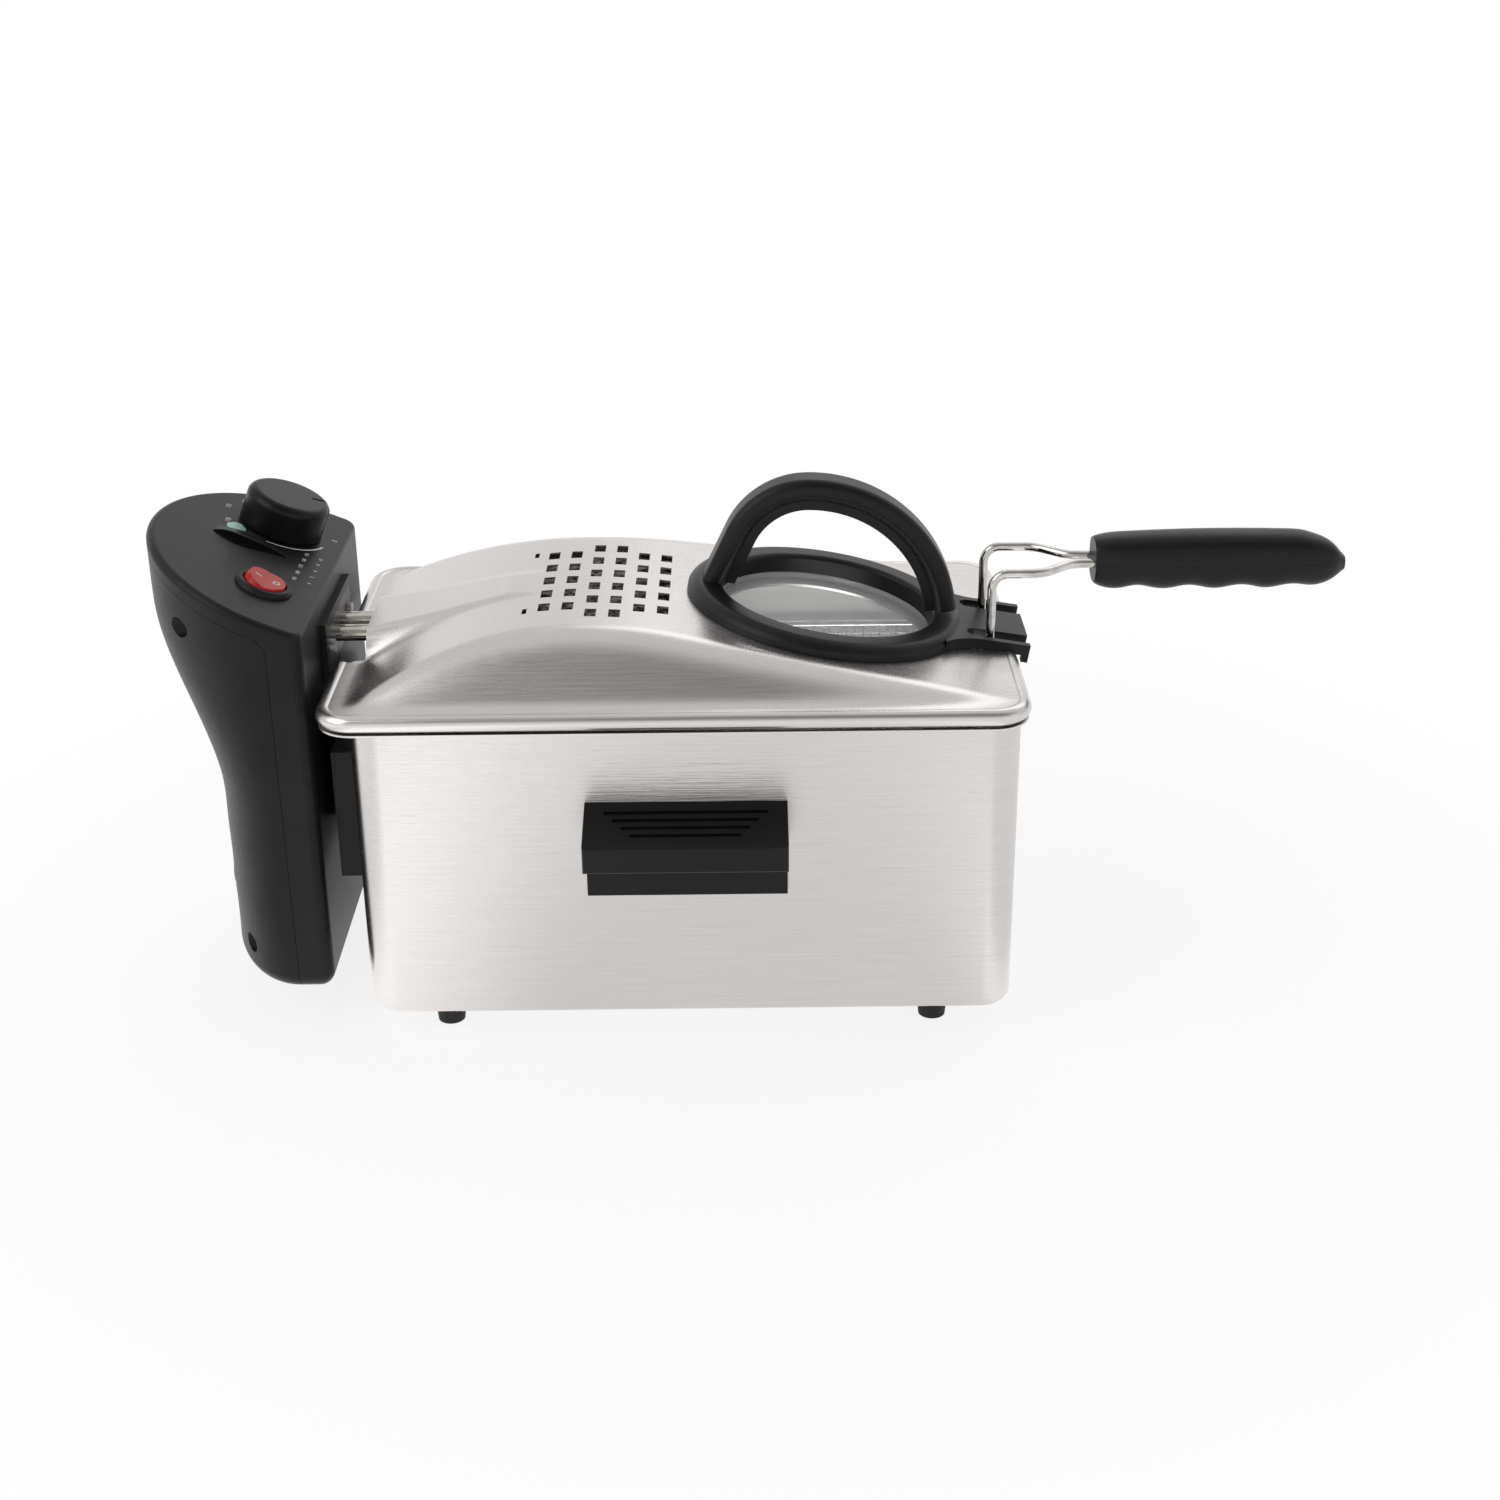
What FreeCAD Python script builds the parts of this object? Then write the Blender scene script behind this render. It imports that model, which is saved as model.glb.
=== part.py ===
import FreeCAD, Part
import math
import operator
import os
import Sketcher
from FreeCAD import Placement, Rotation, Vector

# A deep fryer with a lift-off lid, a wire basket, a lift-out oil pot and a control unit that hangs on the housing.
# Millimetres, +Z up. The origin is the bottom centre of the overall box, and +X points to the basket grip.
# Places are measured from the middle of the housing, and housing_x then shifts every piece to the origin.

SIZES = (
    ("housing_length", 284.5, "outer length of the steel housing"),
    ("housing_depth", 174.5, "outer depth of the steel housing"),
    ("housing_height", 138, "height of the housing wall"),
    ("housing_sheet", 0.8, "sheet thickness of the housing"),
    ("housing_corner", 14, "outer radius of the upright corners"),
    ("housing_edge", 5, "outer radius of the bottom edge"),
    ("base_flange", 26, "width of the inturned bottom flange"),
    ("base_sheet", 1.2, "thickness of the base plate"),
    ("foot_height", 11, "height of a foot"),
    ("foot_radius", 7, "top radius of a foot"),
    ("foot_inset_x", 34, "foot centre from the housing end"),
    ("foot_inset_y", 17, "foot centre from the housing side"),
    ("screw_radius", 1.5, "shank radius of every screw"),
    ("screw_head", 3.2, "head radius of every screw"),
    ("screw_head_height", 2, "head height of every screw"),
    ("screw_play", 0.1, "radial clearance of a screw in its hole"),
    ("handle_width", 86, "width of a side handle"),
    ("handle_below", 34, "upper edge of a side handle below the housing rim"),
    ("handle_height", 43, "height of a side handle"),
    ("handle_reach", 28, "how far a side handle stands out"),
    ("handle_drop", 8, "fall of the sloping top of a side handle"),
    ("handle_lip", 12, "height of the front lip of a side handle"),
    ("handle_wall", 3.2, "wall of a side handle"),
    ("handle_edge", 1.4, "rounding of a side handle"),
    ("handle_groove_width", 2, "width of a grip groove"),
    ("handle_groove_depth", 1, "depth of a grip groove"),
    ("handle_groove_length", 69, "length of the longest grip groove"),
    ("handle_groove_step", 7.4, "each groove is this much shorter than the one before"),
    ("handle_groove_pitch", 4.8, "spacing of the grip grooves"),
    ("handle_screw_x", 28, "side handle screws from the middle"),
    ("handle_boss", 4, "radius of a screw boss in a side handle"),
    ("block_depth", 11.75, "how far the mounting block stands out"),
    ("block_half", 60, "half width of the mounting block"),
    ("block_below", 22, "upper edge of the mounting block below the housing rim"),
    ("block_height", 60, "height of the mounting block"),
    ("block_floor", 6, "closed bottom of the slot in the mounting block"),
    ("rail_neck", 24, "width of the neck of the hanging rail"),
    ("rail_head", 36, "width of the head of the hanging rail"),
    ("rail_head_depth", 4.5, "thickness of the head of the hanging rail"),
    ("rail_cover", 4.5, "lip of the mounting block over the rail head"),
    ("rail_play", 0.4, "clearance around the hanging rail"),
    ("block_screw_y", 45, "mounting block screws from the middle"),
    ("pot_gap", 3, "air gap between the housing and the oil pot"),
    ("pot_sheet", 0.8, "sheet thickness of the oil pot"),
    ("pot_floor_gap", 13, "oil pot above the underside of the housing"),
    ("pot_corner", 20, "outer radius of the upright corners of the pot"),
    ("pot_floor_edge", 12, "outer radius of the floor edge of the pot"),
    ("pot_rim_inset", 1, "rim of the pot behind the edge of the lid"),
    ("rim_notch_play", 1.2, "clearance of the hanging rail in the notch of the pot rim"),
    ("lid_reach_left", 12.5, "lid beyond the housing on the control side"),
    ("lid_reach_right", 3.5, "lid beyond the housing on the grip side"),
    ("lid_reach_side", 7.75, "lid beyond the housing at front and back"),
    ("lid_corner", 17, "outer radius of the lid corners"),
    ("lid_sheet", 0.8, "sheet thickness of the lid"),
    ("lid_seat", 0.3, "clearance between the lid and the rim of the pot"),
    ("bead_radius", 3.8, "radius of the rolled edge of the lid"),
    ("bead_proud", 0.5, "rolled edge above the flat flange"),
    ("flange_side", 8, "flat flange at front and back"),
    ("flange_left", 14, "flat flange on the control side"),
    ("flange_right", 11, "flat flange on the grip side"),
    ("dome_rise", 26.3, "height of the crown above the flange"),
    ("crest_back", 109, "crest of the crown from the window centre"),
    ("shoulder_run", 46, "curved stretch of the crown past its crest"),
    ("dome_side_run", 22, "how far the sides of the dome lean in"),
    ("crest_blend", 9, "rounding of the crown edge"),
    ("foot_blend", 5, "rounding where the crown meets the flange"),
    ("hood_half", 30, "half width of the hood at the flange"),
    ("hood_steep", 1.5, "steepness of the hood sides"),
    ("hood_start", 33, "hood leaves the crown this far past the crest"),
    ("hood_rise", 12.6, "height of the hood mouth above the flange"),
    ("hood_edge", 3, "rounding of the hood edges"),
    ("hood_margin", 1, "notch of the lid edge beyond the hood"),
    ("vent_length", 9, "length of a vent"),
    ("vent_width", 5, "width of a vent"),
    ("vent_pitch_x", 10.3, "spacing of the vent columns"),
    ("vent_pitch_y", 16.6, "spacing of the vents in a column"),
    ("vent_back", 97.5, "middle of the vent field from the window centre"),
    ("slit_back", 34, "tray slits from the middle of the vent field"),
    ("slit_y", 36, "tray slits from the middle of the lid"),
    ("slit_length", 6, "length of a tray slit"),
    ("slit_width", 2, "width of a tray slit"),
    ("window_back", 83.75, "window centre from the grip end of the lid"),
    ("window_radius", 47.5, "clear radius of the window"),
    ("bezel_radius", 62.5, "outer radius of the window bezel"),
    ("bezel_height", 6.5, "height of the window bezel on the lid"),
    ("bezel_seat", 0.15, "clearance under the bezel and the lid handle"),
    ("sleeve_wall", 2, "wall of the bezel sleeve that holds the glass"),
    ("sleeve_depth", 7, "depth of the bezel sleeve below the lid"),
    ("glass_radius", 49.3, "radius of the window glass"),
    ("glass_thickness", 3.9, "thickness of the window glass"),
    ("seal_width", 4.2, "width of the window seal"),
    ("seal_thickness", 1.1, "thickness of the window seal"),
    ("retainer_sheet", 1.2, "sheet thickness of the window retainer"),
    ("retainer_radius", 59, "outer radius of the window retainer"),
    ("retainer_screw_radius", 56, "pitch radius of the retainer screws"),
    ("fit_gap", 0.05, "gap between parts fixed to each other"),
    ("tab_half", 26, "half width of the slotted tab"),
    ("tab_length", 90, "end of the slotted tab from the window centre"),
    ("tab_height", 5, "height of the slotted tab on the lid"),
    ("tab_lip", 3, "how far the tab end turns down"),
    ("tab_blend", 22, "radius between the bezel and its tab"),
    ("slot_width", 9, "width of a slot in the tab"),
    ("slot_start", 62, "closed end of a slot from the window centre"),
    ("notch_play", 0.4, "clearance of the tab in the notch of the lid"),
    ("arch_back", 8, "apex of the lid handle from the window centre"),
    ("arch_rise", 81.5, "top of the lid handle above the housing rim"),
    ("arch_left_radius", 40, "outer radius of the lid handle left of its apex"),
    ("arch_right_radius", 66.5, "outer radius of the lid handle right of its apex"),
    ("arch_lean", 64.5, "steepness of the left leg in degrees"),
    ("arch_leg", 42, "length of the straight left leg"),
    ("arch_end", 85, "how far the right arc runs round in degrees"),
    ("arch_band", 10, "thickness of the rounded band of the lid handle"),
    ("arch_band_width", 18, "width of the rounded band of the lid handle"),
    ("arch_web", 4, "depth of the inner web of the lid handle"),
    ("arch_web_width", 11, "width of the inner web of the lid handle"),
    ("arch_edge", 4.4, "rounding of the lid handle"),
    ("filter_length", 72, "length of the filter tray"),
    ("filter_depth", 104, "depth of the filter tray"),
    ("filter_sheet", 1, "sheet thickness of the filter tray"),
    ("filter_pad_height", 3, "thickness of the filter pad"),
    ("filter_clear", 5.3, "top of the filter tray below the crest"),
    ("control_gap", 16.75, "gap between the housing and the control unit"),
    ("control_half", 76, "half width of the control unit"),
    ("control_bottom", 18, "bottom of the control unit above the table"),
    ("control_wall", 2.5, "wall of the control unit covers"),
    ("control_edge", 7, "rounding of the bottom of the control unit"),
    ("inner_depth", 15, "depth of the inner cover"),
    ("seam_gap", 0.2, "gap along the seam of the covers"),
    ("head_bulge", 61, "bulge of the outer cover at its head"),
    ("leg_bulge", 38, "bulge of the outer cover at its leg"),
    ("leg_fall", 88.5, "start of the swelling leg below the low edge of the deck"),
    ("head_rise", 1.5, "height where the head is full above the low edge of the deck"),
    ("deck_rise", 37.5, "low edge of the sloping deck above the housing rim"),
    ("deck_tilt", 22, "slope of the deck in degrees"),
    ("deck_band", 8, "depth of the deck above its seam"),
    ("deck_edge", 3, "rounding of the deck edge"),
    ("cover_corner", 6, "rounding of the upright corners of the inner cover"),
    ("seam_corner", 9, "rounding of the seam where it turns down"),
    ("knob_u", 29.5, "knob centre up the deck"),
    ("knob_y", 35, "knob centre towards the back"),
    ("knob_radius", 19, "radius of the knob"),
    ("knob_height", 16, "height of the knob"),
    ("knob_lift", 1, "gap under the knob"),
    ("knob_edge", 4, "rounding of the knob"),
    ("flute_radius", 10, "radius of a finger flute of the knob"),
    ("flute_depth", 1.5, "depth of a finger flute of the knob"),
    ("pointer_start", 10, "inner end of the pointer groove of the knob"),
    ("pointer_width", 1.6, "width of the pointer groove of the knob"),
    ("pointer_depth", 1, "depth of the pointer groove of the knob"),
    ("pointer_angle", 22.5, "pointer groove from the low side of the deck in degrees"),
    ("shaft_radius", 3, "radius of the thermostat shaft"),
    ("shaft_depth", 12, "shaft below the deck"),
    ("shaft_grip", 11, "shaft inside the knob"),
    ("thermostat_radius", 13, "radius of the thermostat body"),
    ("thermostat_height", 20, "height of the thermostat body"),
    ("neck_radius", 5, "radius of the thermostat neck"),
    ("neck_proud", 0.8, "neck of the thermostat above the deck"),
    ("switch_u", 23.2, "rocker centre up the deck"),
    ("switch_y", 37, "rocker centre towards the front"),
    ("switch_radius", 12.5, "radius of the switch bezel"),
    ("switch_barrel", 10.6, "radius of the switch barrel"),
    ("switch_depth", 24, "depth of the switch barrel below the deck"),
    ("switch_bezel_height", 2.5, "height of the switch bezel"),
    ("rocker_radius", 9.4, "radius of the rocker about its axis"),
    ("rocker_play", 0.3, "clearance around the rocker"),
    ("rocker_crown", 3.4, "rocker valley above its axis"),
    ("rocker_angle", 9, "half the tip of the rocker in degrees"),
    ("pivot_radius", 1.2, "radius of the pivot pin of the rocker"),
    ("pivot_inset", 0.2, "pivot pin behind the outside of the switch barrel"),
    ("light_u", 46.5, "ready light up the deck"),
    ("light_y", 16, "ready light towards the back"),
    ("light_radius", 4.4, "radius of the ready light"),
    ("light_height", 1.6, "height of the ready light"),
    ("light_stem", 3.2, "radius of the ready light stem"),
    ("light_stem_depth", 6, "ready light below the deck"),
    ("reset_y", 38, "reset button towards the front"),
    ("reset_drop", 78.5, "reset button below the low edge of the deck"),
    ("reset_radius", 2, "radius of the reset button"),
    ("reset_travel", 2, "travel of the reset button"),
    ("reset_hole", 2.6, "radius of the hole over the reset button"),
    ("cutout_radius", 12, "radius of the overheat cut-out"),
    ("cutout_depth", 26, "length of the overheat cut-out"),
    ("cover_boss", 6, "radius of a cover screw boss"),
    ("cover_recess", 4.4, "radius of a cover screw recess"),
    ("boss_floor", 5, "thickness under a cover screw head"),
    ("upper_screw_y", 58, "upper cover screws from the middle"),
    ("upper_screw_drop", 1.5, "upper cover screws below the low edge of the deck"),
    ("upper_boss", 24, "joint face of the upper bosses past the seam"),
    ("lower_screw_y", 60, "lower cover screws from the middle"),
    ("lower_screw_rise", 16, "lower cover screws above the bottom of the control unit"),
    ("lower_boss", 10, "joint face of the lower bosses past the seam"),
    ("gland_radius", 7, "radius of the cord gland"),
    ("gland_flange", 9.5, "flange radius of the cord gland"),
    ("gland_bore", 3.6, "bore radius of the cord gland"),
    ("gland_rise", 24, "cord gland above the bottom of the control unit"),
    ("interlock_y", 24, "interlock switch towards the back"),
    ("interlock_length", 20, "length of the interlock switch"),
    ("interlock_height", 16, "height of the interlock switch"),
    ("interlock_depth", 10, "depth of the interlock switch"),
    ("interlock_hole", 1.6, "radius of the fixing holes of the interlock switch"),
    ("interlock_hole_y", 6, "fixing holes from the middle of the interlock switch"),
    ("terminal_rise", 16, "terminal block above the cord gland"),
    ("terminal_length", 40, "length of the terminal block"),
    ("terminal_height", 16, "height of the terminal block"),
    ("terminal_depth", 14, "depth of the terminal block"),
    ("terminal_hole", 2.4, "radius of a terminal hole"),
    ("terminal_hole_depth", 9, "depth of a terminal hole"),
    ("terminal_pitch", 12, "spacing of the terminal holes"),
    ("plate_half", 29, "half width of the element plate"),
    ("plate_height", 19, "height of the element plate"),
    ("plate_sheet", 1.5, "thickness of the element plate"),
    ("plate_frame", 4, "width of the frame around the element plate"),
    ("plate_screw_y", 23, "element plate screws from the middle"),
    ("tube_rise", 13, "element tubes above the housing rim"),
    ("tube_y", 8.5, "element tubes from the middle"),
    ("tube_radius", 3.25, "radius of the element tube"),
    ("tube_cold_end", 13, "element tubes inside the control unit"),
    ("tube_drop_inset", 11, "element legs from the pot wall"),
    ("tube_bend", 12, "bend radius of the element legs"),
    ("tube_floor_gap", 8, "element above the pot floor"),
    ("loop_outer", 52, "outer runs of the element loop from the middle"),
    ("loop_inner", 18, "inner runs of the element loop from the middle"),
    ("loop_inset_right", 62.25, "end of the straight element runs inside the grip end of the housing"),
    ("loop_inset_left", 74.25, "return of the inner element runs inside the control end of the housing"),
    ("loop_bend", 14, "bend radius of the element loop"),
    ("probe_wire", 1.2, "radius of a sensor capillary"),
    ("probe_radius", 2.8, "radius of a sensor bulb"),
    ("probe_drop", 17, "top of the sensor bulbs below the housing rim"),
    ("probe_length", 62, "length of a sensor bulb"),
    ("cutout_probe_y", 16.5, "cut-out sensor from the middle"),
    ("clip_drop", 34, "probe clip below the top of the sensor bulbs"),
    ("clip_sheet", 2, "thickness of the probe clip"),
    ("clip_margin", 2.4, "probe clip beyond the outer holes"),
    ("basket_inset_left", 34.25, "basket rim inside the control end of the housing"),
    ("basket_inset_right", 20.25, "basket rim inside the grip end of the housing"),
    ("basket_half", 68, "basket rim from the middle"),
    ("basket_drop", 15, "basket rim below the housing rim"),
    ("basket_corner", 12, "corner radius of the basket rim"),
    ("rim_wire", 2, "radius of the basket rim wire"),
    ("hoop_wire", 1.5, "radius of the basket hoops"),
    ("hoop_seat", 0.3, "clearance between the hoops and the element"),
    ("hoop_spread", 58, "basket hoops either side of the basket middle"),
    ("hoop_bend", 2.5, "bend radius of the basket hoops"),
    ("mesh_sheet", 0.8, "thickness of the basket mesh"),
    ("mesh_bar", 2.2, "bar width of the basket mesh"),
    ("mesh_pitch", 16, "spacing of the basket mesh bars"),
    ("mesh_gap", 0.1, "gap between the basket mesh and its frame"),
    ("leg_inset", 7.75, "upright legs of the handle wire inside the grip end of the housing"),
    ("leg_y", 18, "legs of the handle wire from the middle"),
    ("leg_drop", 34, "lower ends of the handle wire below the basket rim"),
    ("wire_radius", 2, "radius of the handle wire"),
    ("wire_bend", 7, "bend radius of the handle wire"),
    ("wire_rise", 41.5, "handle wire above the housing rim"),
    ("wire_run", 46.5, "handle wire between its legs and the grip"),
    ("wire_straight", 22, "parallel stretch of the handle wire"),
    ("wire_neck", 10, "parallel stretch of the handle wire before the grip"),
    ("wire_close", 5.5, "handle wires from the middle inside the grip"),
    ("wire_in_grip", 52, "handle wire inside the grip"),
    ("bracket_sheet", 1.2, "thickness of the handle bracket"),
    ("bracket_half", 26, "half width of the handle bracket"),
    ("bracket_drop", 42, "lower edge of the handle bracket below the basket rim"),
    ("bracket_height", 36, "height of the handle bracket"),
    ("grip_length", 112, "length of the grip"),
    ("grip_rise", 12.6, "grip above its wire"),
    ("grip_sink", 13, "grip below its wire"),
    ("grip_half", 12.5, "half width of the grip"),
    ("grip_seam", 0.1, "gap between the grip halves"),
    ("grip_scallop", 1.8, "depth of the finger scallops"),
    ("grip_scallop_pitch", 23, "spacing of the finger scallops"),
    ("grip_bump", 8, "first finger bump from the start of the grip"),
    ("grip_mouth", 0.86, "size of the start of the grip against its middle"),
    ("grip_mouth_run", 8, "length over which the grip reaches its full size"),
    ("grip_nose", 24, "length of the rounded end of the grip"),
    ("grip_droop", 2.5, "fall of the rounded end of the grip"),
    ("grip_round", 0.76, "corner of a grip section against its half width and height"),
)

doc = FreeCAD.newDocument("deep_fryer")
sheet = doc.addObject("Spreadsheet::Sheet", "sizes")
for row, (alias, value, meaning) in enumerate(SIZES, start=1):
    sheet.set("A%d" % row, meaning)
    sheet.set("B%d" % row, str(value))
    sheet.setAlias("B%d" % row, alias)
doc.recompute()


class Size:
    """A length or ratio that knows its number and its spreadsheet formula."""

    def __init__(self, number, formula):
        self.number = float(number)
        self.formula = formula

    def __float__(self):
        return self.number

    def __add__(self, other):
        return combine(self, other, operator.add, "+")

    def __radd__(self, other):
        return combine(other, self, operator.add, "+")

    def __sub__(self, other):
        return combine(self, other, operator.sub, "-")

    def __rsub__(self, other):
        return combine(other, self, operator.sub, "-")

    def __mul__(self, other):
        return combine(self, other, operator.mul, "*")

    def __rmul__(self, other):
        return combine(other, self, operator.mul, "*")

    def __truediv__(self, other):
        return combine(self, other, operator.truediv, "/")

    def __neg__(self):
        return combine(0, self, operator.sub, "-")


def as_size(value):
    """Gives a plain number the same form as a sheet value."""
    return value if isinstance(value, Size) else Size(value, "(%r)" % float(value))


def combine(left, right, action, sign):
    left = as_size(left)
    right = as_size(right)
    return Size(action(left.number, right.number), "(%s %s %s)" % (left.formula, sign, right.formula))


def cosine(angle):
    return Size(math.cos(math.radians(angle.number)), "cos(%s)" % angle.formula)


def sine(angle):
    return Size(math.sin(math.radians(angle.number)), "sin(%s)" % angle.formula)


def tangent(angle):
    return Size(math.tan(math.radians(angle.number)), "tan(%s)" % angle.formula)


def arctangent(ratio):
    return Size(math.degrees(math.atan(ratio.number)), "atan(%s)" % ratio.formula)


def root(value):
    return Size(math.sqrt(value.number), "sqrt(%s)" % value.formula)


class Sheet:
    """The driving sizes by name, each read back from its cell."""


dim = Sheet()
for alias, _, _ in SIZES:
    setattr(dim, alias, Size(sheet.get(alias), "sizes." + alias))

# Levels and places that several pieces share.
half_length = dim.housing_length / 2
half_depth = dim.housing_depth / 2
housing_floor = dim.foot_height
housing_top = dim.foot_height + dim.housing_height
handle_top = housing_top - dim.handle_below
handle_bottom = handle_top - dim.handle_height
block_top = housing_top - dim.block_below
block_bottom = block_top - dim.block_height
control_face = -(half_length + dim.control_gap)
seam_x = control_face - dim.inner_depth
left_reach = half_length + dim.control_gap + dim.inner_depth + dim.head_bulge
deck_height = housing_top + dim.deck_rise
leg_top = deck_height - dim.leg_fall
head_bottom = deck_height + dim.head_rise
reset_z = deck_height - dim.reset_drop
upper_screw_z = deck_height - dim.upper_screw_drop
lower_screw_z = dim.control_bottom + dim.lower_screw_rise
gland_z = dim.control_bottom + dim.gland_rise
leg_x = half_length - dim.leg_inset
wire_top = housing_top + dim.wire_rise
grip_start = leg_x + dim.wire_run
right_reach = grip_start + dim.grip_length
housing_x = (left_reach - right_reach) / 2
pot_half_length = half_length - dim.housing_sheet - dim.pot_gap
pot_half_depth = half_depth - dim.housing_sheet - dim.pot_gap
pot_floor = housing_floor + dim.pot_floor_gap
pot_depth = housing_top - pot_floor
rim_top = housing_top + dim.pot_sheet
lid_left = -(half_length + dim.lid_reach_left)
lid_right = half_length + dim.lid_reach_right
lid_half = half_depth + dim.lid_reach_side
bead_z = rim_top + dim.lid_seat + dim.bead_radius
flange_top = bead_z + dim.bead_radius - dim.bead_proud
hood_x = lid_left + dim.flange_left
window_x = lid_right - dim.window_back
crest_x = dim.crest_back - window_x
vent_middle_x = dim.vent_back - window_x
arch_apex_x = window_x - dim.arch_back
arch_apex_z = housing_top + dim.arch_rise
right_run = lid_right - dim.flange_right + crest_x
lid_fall = dim.dome_rise / (right_run - dim.shoulder_run / 2)
lid_slope = arctangent(lid_fall)
window_z = flange_top + dim.dome_rise - (window_x + crest_x - dim.shoulder_run / 2) * lid_fall
tube_z = housing_top + dim.tube_rise
probe_top = housing_top - dim.probe_drop
clip_z = probe_top - dim.clip_drop
loop_right = half_length - dim.loop_inset_right
loop_left = half_length - dim.loop_inset_left
element_z = pot_floor + dim.pot_sheet + dim.tube_floor_gap + dim.tube_radius
leg_drop_x = -(pot_half_length - dim.pot_sheet - dim.tube_drop_inset)
hoop_z = element_z + dim.tube_radius + dim.hoop_seat + dim.hoop_wire
mesh_floor = hoop_z + dim.hoop_wire + dim.fit_gap
basket_left = half_length - dim.basket_inset_left
basket_right = half_length - dim.basket_inset_right
basket_top = housing_top - dim.basket_drop
leg_bottom = basket_top - dim.leg_drop
bracket_bottom = basket_top - dim.bracket_drop
screw_hole = dim.screw_radius + dim.screw_play

pieces = []


def bind(thing, path, value):
    """Ties a property of an object to the formula of a size."""
    thing.setExpression(path, as_size(value).formula)


def place(thing, x=0, y=0, z=0, tilt=None):
    """Moves an object to its place from the housing middle, turned about Y by a tilt in degrees."""
    if tilt is not None:
        thing.Placement = Placement(Vector(), Rotation(Vector(0, 1, 0), float(tilt)))
        bind(thing, "Placement.Rotation.Angle", tilt)
    bind(thing, "Placement.Base.x", housing_x + x)
    bind(thing, "Placement.Base.y", y)
    bind(thing, "Placement.Base.z", z)


def keep(thing, label):
    """Names an object as one piece of the fryer."""
    thing.Label = label
    pieces.append(thing)
    return thing


def new_body(label, x=0, y=0, z=0, tilt=None):
    body = doc.addObject("PartDesign::Body", label)
    place(body, x, y, z, tilt)
    return keep(body, label)


def formed(label, shape):
    """Keeps a shape that lofts, sweeps or surfaces made, at the housing middle."""
    thing = doc.addObject("Part::Feature", label)
    thing.Shape = shape
    place(thing)
    return keep(thing, label)


def on_lid(u, v, w):
    """A point on the sloping lid: u down the slope, v to the back, w out of the sheet."""
    x = window_x + u * cosine(lid_slope) + w * sine(lid_slope)
    z = window_z - u * sine(lid_slope) + w * cosine(lid_slope)
    return x, as_size(v), z


def on_deck(u, v, w):
    """A point on the control deck: u up the slope, v to the back, w out of the deck."""
    x = control_face - u * cosine(dim.deck_tilt) + w * sine(dim.deck_tilt)
    z = deck_height + u * sine(dim.deck_tilt) + w * cosine(dim.deck_tilt)
    return x, as_size(v), z


def new_sketch(body, plane, offset=0):
    """A sketch on one of the body's own origin planes, moved along the plane's normal."""
    sketch = body.newObject("Sketcher::SketchObject", body.Label + "_sketch")
    support = [feature for feature in body.Origin.OriginFeatures if feature.Role == plane][0]
    sketch.AttachmentSupport = [(support, "")]
    sketch.MapMode = "FlatFace"
    bind(sketch, "AttachmentOffset.Base.z", offset)
    return sketch


def pin(sketch, geometry, point, u, v):
    """Fixes a sketch point by its two coordinates."""
    for kind, value in (("DistanceX", as_size(u)), ("DistanceY", as_size(v))):
        index = sketch.addConstraint(Sketcher.Constraint(kind, -1, 1, geometry, point, value.number))
        sketch.setExpression("Constraints[%d]" % index, value.formula)


def arc_between(start, end, radius, side):
    """An arc of under half a circle, its centre left (+1) or right (-1) of the way from start to end."""
    chord = end - start
    half = chord.Length / 2
    rise = math.sqrt(max(radius * radius - half * half, 0))
    centre = (start + end) / 2 + Vector(-chord.y, chord.x, 0) / chord.Length * rise * side
    first, last = (start, end) if side > 0 else (end, start)
    angles = [math.atan2(point.y - centre.y, point.x - centre.x) for point in (first, last)]
    return Part.ArcOfCircle(Part.Circle(centre, Vector(0, 0, 1), radius), angles[0], angles[1])


def outline(sketch, corners, arcs=None):
    """A closed outline through corners; arcs gives {edge number: (radius, side)} for its round edges."""
    arcs = arcs or {}
    first = sketch.GeometryCount
    count = len(corners)
    points = [Vector(float(u), float(v), 0) for u, v in corners]
    starts = []
    for index in range(count):
        start = points[index]
        end = points[(index + 1) % count]
        if index in arcs:
            radius, side = arcs[index]
            sketch.addGeometry(arc_between(start, end, float(radius), side), False)
            starts.append((1, 2) if side > 0 else (2, 1))
        else:
            sketch.addGeometry(Part.LineSegment(start, end), False)
            starts.append((1, 2))
    for index in range(count):
        after = (index + 1) % count
        sketch.addConstraint(
            Sketcher.Constraint("Coincident", first + index, starts[index][1], first + after, starts[after][0])
        )
    for index, (u, v) in enumerate(corners):
        pin(sketch, first + index, starts[index][0], u, v)
    for index, (radius, _) in arcs.items():
        radius = as_size(radius)
        number = sketch.addConstraint(Sketcher.Constraint("Radius", first + index, radius.number))
        sketch.setExpression("Constraints[%d]" % number, radius.formula)


def rounded(sketch, left, right, front, back, radius):
    """A rectangle with round corners."""
    corners = [
        (left + radius, front),
        (right - radius, front),
        (right, front + radius),
        (right, back - radius),
        (right - radius, back),
        (left + radius, back),
        (left, back - radius),
        (left, front + radius),
    ]
    outline(sketch, corners, {edge: (radius, 1) for edge in (1, 3, 5, 7)})


def circle(sketch, u, v, radius):
    number = sketch.addGeometry(Part.Circle(Vector(float(u), float(v), 0), Vector(0, 0, 1), float(radius)), False)
    pin(sketch, number, 3, u, v)
    index = sketch.addConstraint(Sketcher.Constraint("Radius", number, float(radius)))
    sketch.setExpression("Constraints[%d]" % index, as_size(radius).formula)


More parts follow.
